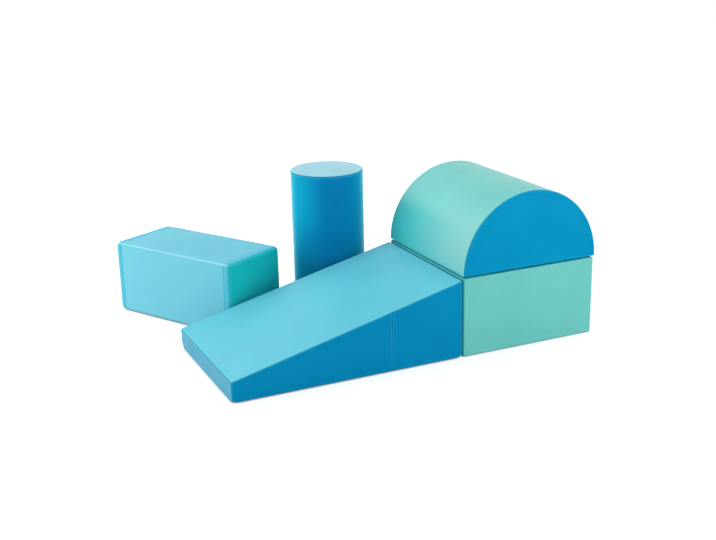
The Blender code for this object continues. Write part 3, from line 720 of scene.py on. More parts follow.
    def build(self, name):
        """The panel as one closed mesh: skin, turned-in rim and lining."""
        flat, faces = self.skin_pattern()
        skin, _, nearest = self.surface(flat)
        seen = {(int(f[k - 1]), int(f[k])) for f in faces for k in range(3)}
        rim = sorted((a, b) for a, b in seen if (b, a) not in seen)
        rank = {a: k for k, (a, _) in enumerate(rim)}
        loops = [(rank[a], rank[b]) for a, b in rim]
        lining, back, went = self.lining_pattern(flat[[a for a, _ in rim]], loops)
        bottom = len(skin)
        mesh_faces = faces.tolist() + (back[:, ::-1] + bottom).tolist()
        for a, b in rim:
            behind_b = bottom + went[rank[b]]
            behind_a = bottom + went[rank[a]]
            mesh_faces.append((b, a, behind_a) if behind_a == behind_b else (b, a, behind_a, behind_b))
        points = np.concatenate([skin, self.lay.place(lining, self.lining_depth)])
        made = mesh_object(name, self.block.world(points), mesh_faces)
        carry(made, "seam", nearest)
        if self.lay.folds:
            seams = self.seam_distances(flat)
            carry(made, "end_seam", np.minimum(seams[1], seams[3]))
            carry(made, "front_fold", self.fold_distances(flat)[0])
        return made


def carry(made, name, values):
    """Stores a value at each point of a mesh's skin, and none behind it, for its material."""
    every = np.zeros(len(made.data.vertices), np.float32)
    every[: len(values)] = values
    made.data.attributes.new(name, "FLOAT", "POINT").data.foreach_set("value", every)


def linked(name, data):
    made = bpy.data.objects.new(name, data)
    bpy.context.scene.collection.objects.link(made)
    return made


def shaded(name, mesh):
    """An object for a mesh, smooth but for its sharp edges."""
    mesh.shade_smooth()
    mesh.set_sharp_from_angle(angle=SHARP_ANGLE)
    return linked(name, mesh)


def mesh_object(name, points, faces):
    mesh = bpy.data.meshes.new(name)
    mesh.from_pydata(np.asarray(points, float).tolist(), [], faces)
    mesh.update()
    return shaded(name, mesh)


def node_points(name):
    return np.array([v.co for v in frame["nodes"][name].data.vertices], float)


def zip_axis(name):
    """The direction in which a block's zip opens."""
    return unit(next(j for j in frame["joints"] if j["name"] == f"{name}_zip_slide")["axis"])


class Block:
    """A block's own axes, its outer size, and the sides that its cover goes round.

    Its origin is the centre of its underside, and its zip is on the side towards +Y.
    """

    def __init__(self, name, along=(1, 0, 0)):
        self.name = name
        self.rounding = ROUNDING[name]
        self.allowance = ALLOWANCE.get(name, 1.0)
        self.corner_drop, *self.corner_fade = WORN_CORNERS.get(name, SOUND_CORNERS)
        ahead = unit(along)
        self.turn = np.array([ahead, (-ahead[1], ahead[0], 0.0), (0.0, 0.0, 1.0)])
        low, high = extent(node_points(f"{name}_foam_core") @ self.turn.T)
        middle = (low + high) / 2
        self.origin = np.array([middle[0], middle[1], low[2] - COVER_DEPTH]) @ self.turn
        self.size = high - low + 2 * COVER_DEPTH
        self.core = self.local(node_points(f"{name}_foam_core"))
        length, width, height = self.size
        self.sides = [
            Flat((-1, 0, 0), length / 2),
            Flat((1, 0, 0), length / 2),
            Flat((0, -1, 0), width / 2),
            Flat((0, 1, 0), width / 2),
            Flat((0, 0, -1), 0.0),
            Flat((0, 0, 1), height),
        ]

    def local(self, points):
        return (points - self.origin) @ self.turn.T

    def world(self, points):
        return points @ self.turn + self.origin


def meet(*sides):
    """The point where three flat sides meet."""
    return np.linalg.solve([side.direction for side in sides], [side.reach for side in sides])


def mitre(first, second):
    """How far a panel draws in for each unit of depth where two sides meet."""
    turned = first.direction @ second.direction
    return sqrt((1 - turned) / (1 + turned))


def zip_slot(block, lay, wrap=None):
    """The opening over a block's zip tape: the tape's own outline less its overlap all round."""
    low, high = extent(lay.flatten(block.local(node_points(f"{block.name}_zip_tape"))))
    return Slot(low + TAPE_OVERLAP, high - TAPE_OVERLAP, wrap)


class Nodes:
    """A node tree that is being put together."""

    def __init__(self, owner):
        owner.use_nodes = True
        self.nodes = owner.node_tree.nodes
        self.links = owner.node_tree.links

    def feed(self, node, inputs):
        for key, value in inputs.items():
            socket = node.inputs[key]
            if isinstance(value, bpy.types.NodeSocket):
                self.links.new(value, socket)
            elif socket.type == "RGBA":
                socket.default_value = (*value, 1.0)
            else:
                socket.default_value = value

    def add(self, kind, output, inputs, **settings):
        """Adds a node and gives one of its outputs."""
        made = self.nodes.new(f"ShaderNode{kind}")
        for name, value in settings.items():
            setattr(made, name, value)
        self.feed(made, inputs)
        return made.outputs[output]

    def math(self, operation, first, second):
        return self.add("Math", 0, {0: first, 1: second}, operation=operation)

    def background_ray(self):
        """One where a ray comes from the camera, from gloss or through something clear."""
        found = self.add("LightPath", "Is Camera Ray", {})
        for name in ("Is Glossy Ray", "Is Transmission Ray"):
            found = self.math("MAXIMUM", found, self.add("LightPath", name, {}))
        return found


class Shader(Nodes):
    """A node material, put together around one Principled shader."""

    def __init__(self, name, roughness, metallic=0.0):
        self.material = bpy.data.materials.new(name)
        super().__init__(self.material)
        self.place = self.add("TexCoord", "Object", {})
        self.set(Roughness=roughness, Metallic=metallic)

    def set(self, **values):
        inputs = {name.replace("_", " "): value for name, value in values.items()}
        self.feed(self.nodes["Principled BSDF"], inputs)

    def axis(self, name):
        return self.add("SeparateXYZ", name, {0: self.place})

    def noise(self, size, detail=2.0, stretch=None):
        """Noise from 0 to 1 whose blots are about so many metres wide."""
        place = self.place
        if stretch is not None:
            place = self.add("Mapping", 0, {"Vector": place, "Scale": stretch})
        return self.add("TexNoise", "Fac", {"Vector": place, "Scale": 1 / size, "Detail": detail})

    def cells(self, size):
        """Distances to the nearest of many scattered points, so many metres apart."""
        return self.add("TexVoronoi", "Distance", {"Vector": self.place, "Scale": 1 / size})

    def share(self, value, start, end, low=0.0, high=1.0):
        """A smooth step of a value between two of its levels."""
        inputs = {"Value": value, "From Min": start, "From Max": end, "To Min": low, "To Max": high}
        return self.add("MapRange", "Result", inputs, interpolation_type="SMOOTHSTEP")

    def band(self, value, rise, fall):
        """One between a rise and a fall of a value, and nothing beyond them."""
        return self.math("MULTIPLY", self.share(value, *rise), self.share(value, *fall, 1.0, 0.0))

    def mix(self, factor, first, second):
        return self.add("Mix", 2, {0: factor, 6: first, 7: second}, data_type="RGBA")

    def bump(self, height, distance, strength, **under):
        inputs = {"Height": height, "Distance": distance, "Strength": strength, **under}
        return self.add("Bump", "Normal", inputs)

    def carried(self, name):
        """A value that the panels carry: the distance to the nearest seam or fold."""
        return self.add("Attribute", "Fac", {}, attribute_name=name)


def scaled(colour, amount):
    return tuple(min(channel * amount, 1.0) for channel in colour)


def toward(colour, other, share):
    return tuple(a + (b - a) * share for a, b in zip(colour, other))


def vinyl(name, colour, shine=0.08, sheen=0.0, tint=WHITE, spread=0.35, rub=0.3, finish=None):
    """Coated vinyl: faint blotches, leather grain, a painted highlight along each seam, and darker
    right at the seam.
    """
    shader = Shader(name, 0.40)
    tone = shader.mix(shader.noise(0.22, 3.0), scaled(colour, 0.90), scaled(colour, 1.10))
    speck = shader.share(shader.noise(0.006), 0.45, 0.75, 0.0, 0.10)
    tone = shader.mix(speck, tone, scaled(colour, 0.86))
    if finish is not None:
        tone = finish(shader, tone, colour)
    seam = shader.carried("seam")
    # Painted highlight along each seam, its strength varied by noise.
    highlight_strength = shader.share(shader.noise(0.045, 3.0), 0.20, 0.70, 0.35 * rub, rub)
    highlight_mask = shader.math("MULTIPLY", shader.band(seam, *SEAM_HIGHLIGHT_BAND), highlight_strength)
    tone = shader.mix(highlight_mask, tone, toward(scaled(colour, 1.15), SEAM_HIGHLIGHT_CYAN, 0.16))
    # Darker right at each seam.
    tone = shader.mix(shader.share(seam, *SEAM_DARKENING), scaled(colour, 0.72), tone)
    gloss = shader.share(shader.noise(0.06, 4.0), 0.30, 0.75, 0.36, 0.47)
    grain = shader.math("ADD", shader.cells(0.0011), shader.noise(0.0007))
    relief = shader.bump(shader.noise(0.016), 0.0006, 0.25)
    relief = shader.bump(grain, 0.00012, 0.5, Normal=relief)
    shader.set(Base_Color=tone, Roughness=gloss, Normal=relief, Specular_IOR_Level=shine)
    shader.set(Sheen_Weight=sheen, Sheen_Roughness=spread, Sheen_Tint=tint)
    return shader.material


def folded(shader, tone, colour):
    """Painted light on the sides, painted shade beside each end's seam, and a painted highlight along
    the front fold.
    """
    # Painted light: the sides below the top are lighter than the top.
    sides = shader.share(shader.axis("Z"), *BLOCK_SHOULDER, 1.0, 0.0)
    tone = shader.mix(sides, tone, LIT_FRONT_SKY)
    # Painted shade in a strip and a line beside each end's seam.
    seam = shader.carried("end_seam")
    line = shader.math("MULTIPLY", shader.band(seam, *END_CREASE_SHADE), 0.8)
    line = shader.math("MAXIMUM", shader.share(seam, *END_SHADE_STRIP, 0.6, 0.0), line)
    tone = shader.mix(line, tone, END_SEAM_SHADE)
    # Painted highlight along the front fold.
    fold_highlight = shader.share(shader.carried("front_fold"), *FOLD_HIGHLIGHT, 0.85, 0.0)
    return shader.mix(fold_highlight, tone, toward(scaled(colour, 1.30), WHITE, 0.18))


def graded(shader, tone, colour):
    """Painted light low down toward the near end, painted shade toward the far end and at the foot."""
    # Painted light low toward the near end, painted shade toward the far end.
    far = shader.share(shader.axis("Y"), *VAULT_LENGTH)
    low = shader.share(shader.axis("Z"), *VAULT_LIT_HEIGHTS, 0.85, 0.0)
    tone = shader.mix(low, tone, shader.mix(far, NEAR_LIT_MINT, FAR_SHADED_MINT))
    # Painted shade at the foot.
    return shader.mix(shader.share(shader.axis("Z"), *VAULT_FOOT_SHADE, 0.6, 0.0), tone, FAR_SHADED_MINT)


def wrapped(shader, tone, colour):
    """Painted light toward one side, painted shade low down, a painted sheen at grazing angles, a
    painted highlight below the top seam, and darker right at that seam.
    """
    low, high = extent(node_points("cylinder_foam_core"))
    middle = float((low + high) @ LIT_SIDE_DIRECTION / 2)
    radius = float(high[0] - low[0]) / 2
    # Painted light toward the cylinder's lit side.
    places = {0: shader.place, 1: LIT_SIDE_DIRECTION}
    aside = shader.add("VectorMath", "Value", places, operation="DOT_PRODUCT")
    tone = shader.mix(shader.share(aside, middle, middle + 0.8 * radius), tone, LIT_SIDE_BLUE)
    # Painted shade low down.
    low = shader.share(shader.axis("Z"), *WRAP_SHADE_HEIGHTS, 0.8, 0.0)
    tone = shader.mix(low, tone, scaled(colour, 0.78))
    # Painted sheen at grazing angles.
    edge = shader.add("LayerWeight", "Facing", {})
    tone = shader.mix(shader.share(edge, *WRAP_SHEEN_FACING, 0.0, 0.75), tone, PAINTED_SHEEN_COLOUR)
    # Painted highlight in a band below the top seam, and darker right at the seam.
    seam = shader.carried("seam")
    band = shader.math("MULTIPLY", shader.band(seam, *WRAP_HIGHLIGHT_BAND), 0.5)
    tone = shader.mix(band, tone, toward(scaled(colour, 1.3), SEAM_HIGHLIGHT_CYAN, 0.2))
    return shader.mix(shader.share(seam, *WRAP_SEAM_DARKENING), scaled(colour, 0.6), tone)


def rimmed(light):
    """A paler lit colour along the seams of a panel painted in shade, where the covering block leaves
    it bare.
    """
    def finish(shader, tone, colour):
        return shader.mix(shader.share(shader.carried("seam"), *LIT_RIM, 1.0, 0.0), tone, light)
    return finish


def non_slip(name):
    """Dark grip cloth under the blocks: a coarse weave, dusty where it has been stood on."""
    shader = Shader(name, 0.85)
    dust = shader.share(shader.noise(0.05, 4.0), 0.45, 0.80, 0.0, 0.35)
    tone = shader.mix(shader.noise(0.003), (0.040, 0.050, 0.058), (0.085, 0.100, 0.112))
    tone = shader.mix(dust, tone, (0.19, 0.20, 0.20))
    shader.set(Base_Color=tone, Normal=shader.bump(shader.cells(0.0014), 0.0004, 0.7))
    return shader.material


def foam(name):
    """Open-celled foam: pores of two sizes, yellowed in places."""
    shader = Shader(name, 0.95)
    tone = shader.mix(shader.noise(0.11, 3.0), (0.72, 0.70, 0.60), (0.80, 0.79, 0.72))
    pores = shader.share(shader.cells(0.0022), 0.05, 0.32)
    tone = shader.mix(pores, (0.46, 0.44, 0.36), tone)
    relief = shader.bump(pores, 0.0006, 0.8)
    relief = shader.bump(shader.cells(0.0008), 0.0003, 0.6, Normal=relief)
    shader.set(Base_Color=tone, Normal=relief)
    return shader.material


def woven(name, colour, size, stretch=None):
    """Narrow woven goods: threads along one way, worn paler here and there."""
    shader = Shader(name, 0.82)
    thread = shader.noise(size, 1.0, stretch)
    tone = shader.mix(thread, scaled(colour, 0.65), scaled(colour, 1.30))
    faded = shader.share(shader.noise(0.03, 3.0), 0.5, 0.85, 0.0, 0.35)
    tone = shader.mix(faded, tone, toward(colour, WHITE, 0.25))
    shader.set(Base_Color=tone, Normal=shader.bump(thread, 0.0003, 0.8), Sheen_Weight=0.3)
    return shader.material


def moulded(name, roughness, blots, dark, light, grain, depth, strength):
    """Rubber or plastic: soft blots of two tones over a fine grain."""
    shader = Shader(name, roughness)
    tone = shader.mix(shader.noise(blots, 3.0), dark, light)
    shader.set(Base_Color=tone, Normal=shader.bump(shader.noise(grain), depth, strength))
    return shader.material


def brushed_metal(name):
    shader = Shader(name, 0.32, 1.0)
    lines = shader.noise(0.0012, 3.0, (1, 8, 8))
    tone = shader.mix(lines, (0.42, 0.43, 0.45), (0.66, 0.67, 0.69))
    gloss = shader.share(lines, 0.2, 0.8, 0.24, 0.42)
    shader.set(Base_Color=tone, Roughness=gloss, Normal=shader.bump(lines, 0.00005, 0.5))
    return shader.material


VINYL_SKY = vinyl("vinyl_sky_grained", SKY, rub=0.6)
VINYL_PALE_SKY = vinyl("vinyl_pale_sky_grained", PALE_SKY, 0.04, rub=0.0, finish=folded)
VINYL_BLUE = vinyl("vinyl_blue_grained", BLUE, 0.02, rub=0.5)
# Painted reflection on the ramp's low end: a lighter copy of the blue vinyl.
VINYL_REFLECTION_LIT_BLUE = vinyl("vinyl_blue_hazy_grained", REFLECTION_LIT_BLUE, 0.10, 0.28, rub=0.5)
# Painted light and shade on the cylinder's wrap.
VINYL_WRAP_BLUE = vinyl(
    "vinyl_blue_wrap_grained", SHADED_WRAP_BLUE, 0.03, 1.0, GLEAM, 0.6, rub=0.0, finish=wrapped
)
# Painted light on the half-round's ends.
VINYL_UPPER_LIT_BLUE = vinyl("vinyl_blue_upper_grained", UPPER_LIT_BLUE, 0.02)
# Painted shade on the ramp's high end and the half-round's underside.
VINYL_SHADED_BLUE = vinyl(
    "vinyl_blue_unfaded_grained", SHADED_BLUE, 0.03, rub=0.0, finish=rimmed(LIT_RIM_BLUE)
)
VINYL_MINT = vinyl("vinyl_mint_grained", MINT, 0.30, 0.10)
# Painted light and shade on the half-round's curve.
VINYL_VAULT_MINT = vinyl(
    "vinyl_mint_graded_grained", UPPER_LIT_MINT, 0.30, 0.10, rub=0.8, finish=graded
)
# Painted shade on the base's top and left side.
VINYL_SHADED_MINT = vinyl(
    "vinyl_mint_unfaded_grained", SHADED_MINT, rub=0.0, finish=rimmed(LIT_RIM_MINT)
)
VINYL_TEAL = vinyl("vinyl_teal_grained", TEAL)
VINYL_ICE = vinyl("vinyl_ice_grained", ICE, 0.20, 0.1)
GRIP_CLOTH = non_slip("grip_cloth")
GRIP_RUBBER = moulded(
    "grip_rubber", 0.60, 0.02, (0.030, 0.036, 0.042), (0.070, 0.080, 0.088), 0.0012, 0.0001, 0.4
)
OPEN_FOAM = foam("open_foam")
ZIP_TAPE = woven("zip_tape_woven", TAPE_BLUE, 0.0007, (1, 1, 3))
ZIP_TEETH = moulded(
    "zip_teeth", 0.38, 0.008, scaled(TOOTH_BLUE, 0.8), scaled(TOOTH_BLUE, 1.2), 0.0006, 0.00006, 0.5
)
THREAD = woven("sewing_thread", THREAD_BLUE, 0.0004)
HOOK_TAPE = woven("hook_tape_woven", HOOK_BLUE, 0.0009)
LOOP_TAPE = woven("loop_tape_napped", LOOP_BLUE, 0.0013)
ZIP_METAL = brushed_metal("zip_metal_brushed")


def finished(made, body, material, nodes=()):
    """Gives a piece its material and body, and hides the nodes that it stands for."""
    made.data.materials.append(material)
    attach(made, body)
    if nodes:
        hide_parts(*nodes)
    return made


def dress(panel, part, material):
    node = f"{panel.block.name}_{part}"
    name = node.replace("_panel", "") + "_cover"
    finished(panel.build(name), panel.block.name, material, [node])
    if panel.slot is not None:
        hem_stitches(panel)
    return panel


def joined(parts):
    """Several shapes as one, each given as its points and faces."""
    points = []
    faces = []
    total = 0
    for part_points, part_faces in parts:
        points.append(part_points)
        faces += [tuple(total + k for k in face) for face in part_faces]
        total += len(part_points)
    return np.concatenate(points), faces


def lofted(rings):
    """A closed skin over rings of equally many points, flat at both ends."""
    count = len(rings[0])
    last = (len(rings) - 1) * count
    faces = []
    for start in range(0, last, count):
        for n in range(count):
            after = start + (n + 1) % count
            faces.append((start + n, after, after + count, start + n + count))
    faces += [tuple(range(last, last + count)), tuple(range(count))[::-1]]
    return np.concatenate(rings), faces


def round_ended(sides, rings):
    """A closed round-ended bar along X, from -1 to 1, with a radius of 1, to scale and place."""
    angles = [pi * k / rings for k in range(1, rings)]
    middle = [np.column_stack([np.full(sides, -cos(a)), sin(a) * circle(sides)]) for a in angles]
    points, faces = lofted(middle)
    first = len(points)
    end = first - sides
    faces = faces[:-2]
    faces += [(first, (n + 1) % sides, n) for n in range(sides)]
    faces += [(end + n, end + (n + 1) % sides, first + 1) for n in range(sides)]
    return np.concatenate([points, [(-1.0, 0.0, 0.0), (1.0, 0.0, 0.0)]]), faces


def copies(template, places):
    """Many copies of one template. places gives each one's centre and its three scaled axes."""
    shape, faces = template
    return joined([(centre + shape @ axes, faces) for centre, axes in places])


def stitches_along(points, normals):
    """Thread stitches end to end along a line of points that lie a stitch pitch apart."""
    places = []
    for start, end, normal in zip(points, points[1:], normals):
        ahead = unit(end - start)
        side = unit(np.cross(normal, ahead))
        out = np.cross(ahead, side)
        axes = np.array([ahead * STITCH_LENGTH / 2, side * STITCH_RADIUS, out * STITCH_RADIUS])
        places.append(((start + end) / 2, axes))
    return copies(round_ended(6, 4), places)


def stitch_line(low, high):
    """A rectangle of places a stitch pitch apart, with the first again at the end."""
    ring = stepped_ring(low, high, STITCH_PITCH)
    return np.append(ring, ring[:1], axis=0)


def hem_stitches(panel):
    """The row of stitches that holds the zip tape to the hem of its opening."""
    low, high = panel.slot.places[0]
    flat = stitch_line(low - STITCH_FROM_EDGE, high + STITCH_FROM_EDGE)
    if panel.slot.wrap is not None:
        flat[:, 0] = flat[:, 0] % panel.slot.wrap
    points, outward, _ = panel.surface(flat)
    points, faces = stitches_along(points + outward * STITCH_RADIUS / 2, outward)
    made = mesh_object(f"{panel.block.name}_zip_stitches", panel.block.world(points), faces)
    finished(made, panel.block.name, THREAD)


class ZipAxes:
    """The directions of a block's zip, and its pieces' boxes in them: along, across and out."""

    def __init__(self, block):
        self.name = f"{block.name}_zip"
        self.body = block.name
        along = zip_axis(block.name)
        out = block.turn[1]
        self.turn = np.array([along, np.cross(out, along), out])

    def box(self, part):
        return extent(node_points(f"{self.name}_{part}") @ self.turn.T)

    def finish(self, shape, piece, part, material):
        """Makes a piece of a shape in these axes, in place of a node."""
        made = mesh_object(f"{self.name}_{piece}", shape[0] @ self.turn, shape[1])
        finished(made, self.body, material, [f"{self.name}_{part}"])


def swept(profile, start, end):
    """A closed bar: an outline of (across, out) points carried along from start to end."""
    return lofted([np.array([(along, *p) for p in profile]) for along in (start, end)])


def zip_tape(axes):
    """The tape: thin at its selvedges, with a rib of thicker weave on each side of the chain."""
    low, high = axes.box("tape")
    chain_low, chain_high = axes.box("chain")
    middle = (low[1] + high[1]) / 2
    half = (high[1] - low[1]) / 2
    rib = (chain_high[1] - chain_low[1]) / 2 + RIB_OFF_CHAIN
    outer = [(half, -TAPE_EDGE / 2), (half - SELVEDGE, 0.0), (rib + RIB_HALF, 0.0)]
    right = [*outer, (rib, TAPE_RIB), (rib - RIB_HALF, 0.0)]
    heights = right + [(-across, out) for across, out in right[::-1]]
    profile = [(middle + across, high[2] + out) for across, out in heights]
    profile += [(middle - half, low[2]), (middle + half, low[2])]
    axes.finish(swept(profile, low[0], high[0]), "tape_woven", "tape", ZIP_TAPE)


def zip_chain(axes):
    """Two rows of teeth that mesh, on cords at their outer ends, between rounded end stops."""
    low, high = axes.box("chain")
    middle = (low[1] + high[1]) / 2
    half = (high[1] - low[1]) / 2
    rise = high[2] - STOP_RISE - low[2]
    first = low[0] + STOP_LENGTH
    last = high[0] - STOP_LENGTH
    reach = (half + TOOTH_CROSSING) / 2
    cord = rise * 0.30
    shape = np.array([(0, reach, 0), (0, 0, rise / 2), (TOOTH_THICKNESS / 2, 0, 0)])
    teeth = []
    cords = []
    for row, offset in ((-1, 0.25), (1, 0.75)):
        across = middle + row * (half - reach)
        for k in range(int((last - first) / TOOTH_PITCH)):
            along = first + (k + offset) * TOOTH_PITCH
            teeth.append((np.array([along, across, low[2] + rise / 2]), shape))
        profile = circle(8) * cord + (middle + row * (half - cord), low[2] + cord)
        cords.append(swept(profile, first - STOP_LENGTH / 2, last + STOP_LENGTH / 2))
    points, faces = round_ended(10, 6)
    squared = np.sign(points) * np.abs(points) ** 0.6
    shape = np.array([(0, half, 0), (0, 0, (high[2] - low[2]) / 2), (STOP_LENGTH / 2, 0, 0)])
    level = (low[2] + high[2]) / 2
    ends = [
        (np.array([along, middle, level]), shape)
        for along in (first - STOP_LENGTH / 2, last + STOP_LENGTH / 2)
    ]
    parts = [copies(round_ended(8, 4), teeth), *cords, copies((squared, faces), ends)]
    axes.finish(joined(parts), "teeth", "chain", ZIP_TEETH)


def rounded_copy(node, name, rounding):
    """A copy of a hard node with its sharp edges rounded."""
    bm = bmesh.new()
    bm.from_mesh(frame["nodes"][node].data)
    bmesh.ops.remove_doubles(bm, verts=bm.verts, dist=1e-6)
    bmesh.ops.dissolve_limit(bm, angle_limit=radians(1), verts=bm.verts, edges=bm.edges)
    sharp = [
        edge for edge in bm.edges
        if len(edge.link_faces) == 2 and edge.calc_face_angle() > radians(30)
    ]
    bmesh.ops.bevel(
        bm, geom=sharp, offset=rounding, offset_type="OFFSET", segments=2,
        affect="EDGES", profile=0.5, clamp_overlap=True,
    )
    mesh = bpy.data.meshes.new(name)
    bm.to_mesh(mesh)
    bm.free()
    return shaded(name, mesh)


def grip_dots(panel):
    """Rubber dots in staggered rows under a block, down to the floor."""
    low, high = extent(panel.outline.ring(0.0))
    row_pitch = DOT_PITCH * sin(pi / 3)
    rows = int((high[1] - low[1]) / row_pitch)
    columns = int((high[0] - low[0]) / DOT_PITCH)
    centres = np.array([
        ((c - columns / 2 + 0.5 * (r % 2)) * DOT_PITCH, (r - rows / 2) * row_pitch)
        for r in range(rows + 1)
        for c in range(columns + 1)
    ]) + (low + high) / 2
    centres = centres[panel.outline.distances(centres).min(axis=0) > DOT_MARGIN]
    dots = []
    for centre in centres:
        rings = [
            panel.lay.place(centre + circle(DOT_SIDES) * share * DOT_RADIUS, depth)
            for share, depth in DOT_LEVELS
        ]
        dots.append(lofted(rings))
    points, faces = joined(dots)
    made = mesh_object(f"{panel.block.name}_grip_dots", panel.block.world(points), faces)
    finished(made, panel.block.name, GRIP_RUBBER)


def strip(body, node, outward, material, seed):
    """A hook or loop strip: a napped field inside a flat woven border, with stitches round it."""
    low, high = extent(node_points(node))
    thick = int(np.argmax(np.abs(outward)))
    wide = [1, 2 - thick]
    out = outward[thick]
    face, foot = (high[thick], low[thick]) if out > 0 else (low[thick], high[thick])

    def placed(flat, level):
        made = np.empty((len(flat), 3))
        made[:, wide] = flat
        made[:, thick] = level
        return made

    low = low[wide]
    high = high[wide]
    counts = np.round((high - low) / NAP_STEP).astype(int) + 1
    run = np.linspace(low[0], high[0], counts[0])
    width = np.linspace(low[1], high[1], counts[1])
    flat = np.array([(a, b) for b in width for a in run])
    inset = np.minimum(flat - low, high - flat).min(axis=1)
    chance = np.random.default_rng(seed)
    nap = chance.uniform(-1.0, -0.1, len(flat)) * NAP_HEIGHT
    border = -HEM_SINK - EDGE_SINK * (inset < NAP_STEP / 2)
    height = np.where(inset > STRIP_HEM + NAP_STEP, nap, border)
    order = np.arange(len(flat)).reshape(len(width), len(run))
    square = (order[:-1, :-1], order[:-1, 1:], order[1:, 1:], order[1:, :-1])
    rim = [*order[0], *order[1:, -1], *order[-1, -2::-1], *order[-2:0:-1, 0]]
    count = len(rim)
    behind = [*range(len(flat), len(flat) + count)]
    faces = np.stack(square, -1).reshape(-1, 4).tolist()
    faces += [(rim[k], rim[k - 1], behind[k - 1], behind[k]) for k in range(count)]
    faces.append(behind[::-1])
    points = [placed(flat, face + out * height), placed(flat[rim], foot)]
    made = mesh_object(f"{node}_napped", np.concatenate(points), faces)
    turn_outwards(made)
    finished(made, body, material, [node])
    line = placed(stitch_line(low + STRIP_HEM, high - STRIP_HEM), face - out * HEM_SINK)
    points, faces = stitches_along(line, [outward] * len(line))
    finished(mesh_object(f"{node}_stitches", points, faces), body, THREAD)


def turn_outwards(made):
    """Turns a closed mesh's faces outwards."""
    bm = bmesh.new()
    bm.from_mesh(made.data)
    bmesh.ops.recalc_face_normals(bm, faces=bm.faces)
    bm.to_mesh(made.data)
    bm.free()


def fit_out(block, *strips):
    """A block's zip, its foam core, and its hook or loop strips."""
    axes = ZipAxes(block)
    zip_tape(axes)
    zip_chain(axes)
    for part in ("slider", "pull"):
        node = f"{axes.name}_{part}"
        made = rounded_copy(node, f"{node}_rounded", METAL_ROUNDING)
        finished(made, f"{block.name}_{part}", ZIP_METAL, [node])
    node = f"{block.name}_foam_core"
    made = rounded_copy(node, f"{block.name}_foam", FOAM_ROUNDING)
    finished(made, block.name, OPEN_FOAM, [node])
    for name, outward, material, seed in strips:
        strip(block.name, f"{block.name}_{name}_strip", outward, material, seed)


def cover(block, part, side, around, material, crown=CROWN_HEIGHT, zipped=False, butts=(), **rest):
    """Covers a flat side. around holds the sides below, right of, above and left of it."""
    corners = np.array([meet(side, around[k - 1], around[k]) for k in range(4)])
    across = corners[1] - corners[0]
    lay = Sheet(corners[0], across, np.cross(side.direction, across))
    outline = Polygon(lay.flatten(corners), [mitre(side, other) for other in around], butts)
    slot = zip_slot(block, lay) if zipped else None
    return dress(Panel(block, lay, outline, crown, slot, **rest), part, material)


def underside(block):
    left, right, front, back, bottom, _ = block.sides
    around = (back, right, front, left)
    grip_dots(cover(block, "underside", bottom, around, GRIP_CLOTH, 0.0, sink=UNDERSIDE_SINK, seed=500))


def dress_base():
    base = Block("base")
    left, right, front, back, bottom, top = base.sides
    cover(base, "left_panel", left, (bottom, front, top, back), VINYL_SHADED_MINT, 0.0, seed=100)
    cover(base, "right_panel", right, (bottom, back, top, front), VINYL_MINT, seed=101)
    cover(base, "front_panel", front, (bottom, right, top, left), VINYL_MINT, seed=102)
    cover(base, "back_panel", back, (bottom, left, top, right), VINYL_MINT, zipped=True, seed=103)
    cover(base, "top_panel", top, (front, right, back, left), VINYL_SHADED_MINT, 0.0, seed=104)
    underside(base)
    fit_out(
        base,
        ("side_loop", (-1, 0, 0), LOOP_TAPE, 1),
        ("left_loop", (0, 0, 1), LOOP_TAPE, 2),
        ("right_loop", (0, 0, 1), LOOP_TAPE, 3),
    )


def ramp_slope(ramp):
    """The ramp's sloping side, from its foam core's upper edges."""
    low_top = ramp.core[ramp.core[:, 0] < 0][:, 2].max()
    high_top = ramp.core[:, 2].max()
    slope = unit((low_top - high_top, 0, np.ptp(ramp.core[:, 0])))
    edge = np.array([ramp.core[:, 0].max(), 0, high_top])
    return Flat(slope, slope @ edge + COVER_DEPTH)


def dress_ramp():
    ramp = Block("ramp")
    top = ramp_slope(ramp)
    ramp.sides[5] = top
    left, right, front, back, bottom, _ = ramp.sides
    seam_world = (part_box("ramp_near_low_panel")[1].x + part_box("ramp_near_high_panel")[0].x) / 2
    seam_at = seam_world - ramp.origin[0]
    from_low = Flat((1, 0, 0), seam_at)
    from_high = Flat((-1, 0, 0), -seam_at)
    cover(ramp, "top_panel", top, (front, right, back, left), VINYL_SKY, seed=201)
    cover(ramp, "low_end_panel", left, (bottom, front, top, back), VINYL_REFLECTION_LIT_BLUE, seed=210)
    around = (bottom, back, top, front)
    cover(ramp, "high_end_panel", right, around, VINYL_SHADED_BLUE, 0.0, seed=211)
    halves = (
        ("near_low", front, (bottom, from_low, top, left), {1}, False),
        ("near_high", front, (bottom, right, top, from_high), {3}, False),
        ("far_low", back, (bottom, left, top, from_low), {3}, True),
        ("far_high", back, (bottom, from_high, top, right), {1}, False),
    )
    for seed, (name, side, around, butts, zipped) in enumerate(halves, 220):
        cover(ramp, f"{name}_panel", side, around, VINYL_BLUE, zipped=zipped, butts=butts, seed=seed)
    underside(ramp)
    fit_out(ramp, ("hook", (1, 0, 0), HOOK_TAPE, 4))


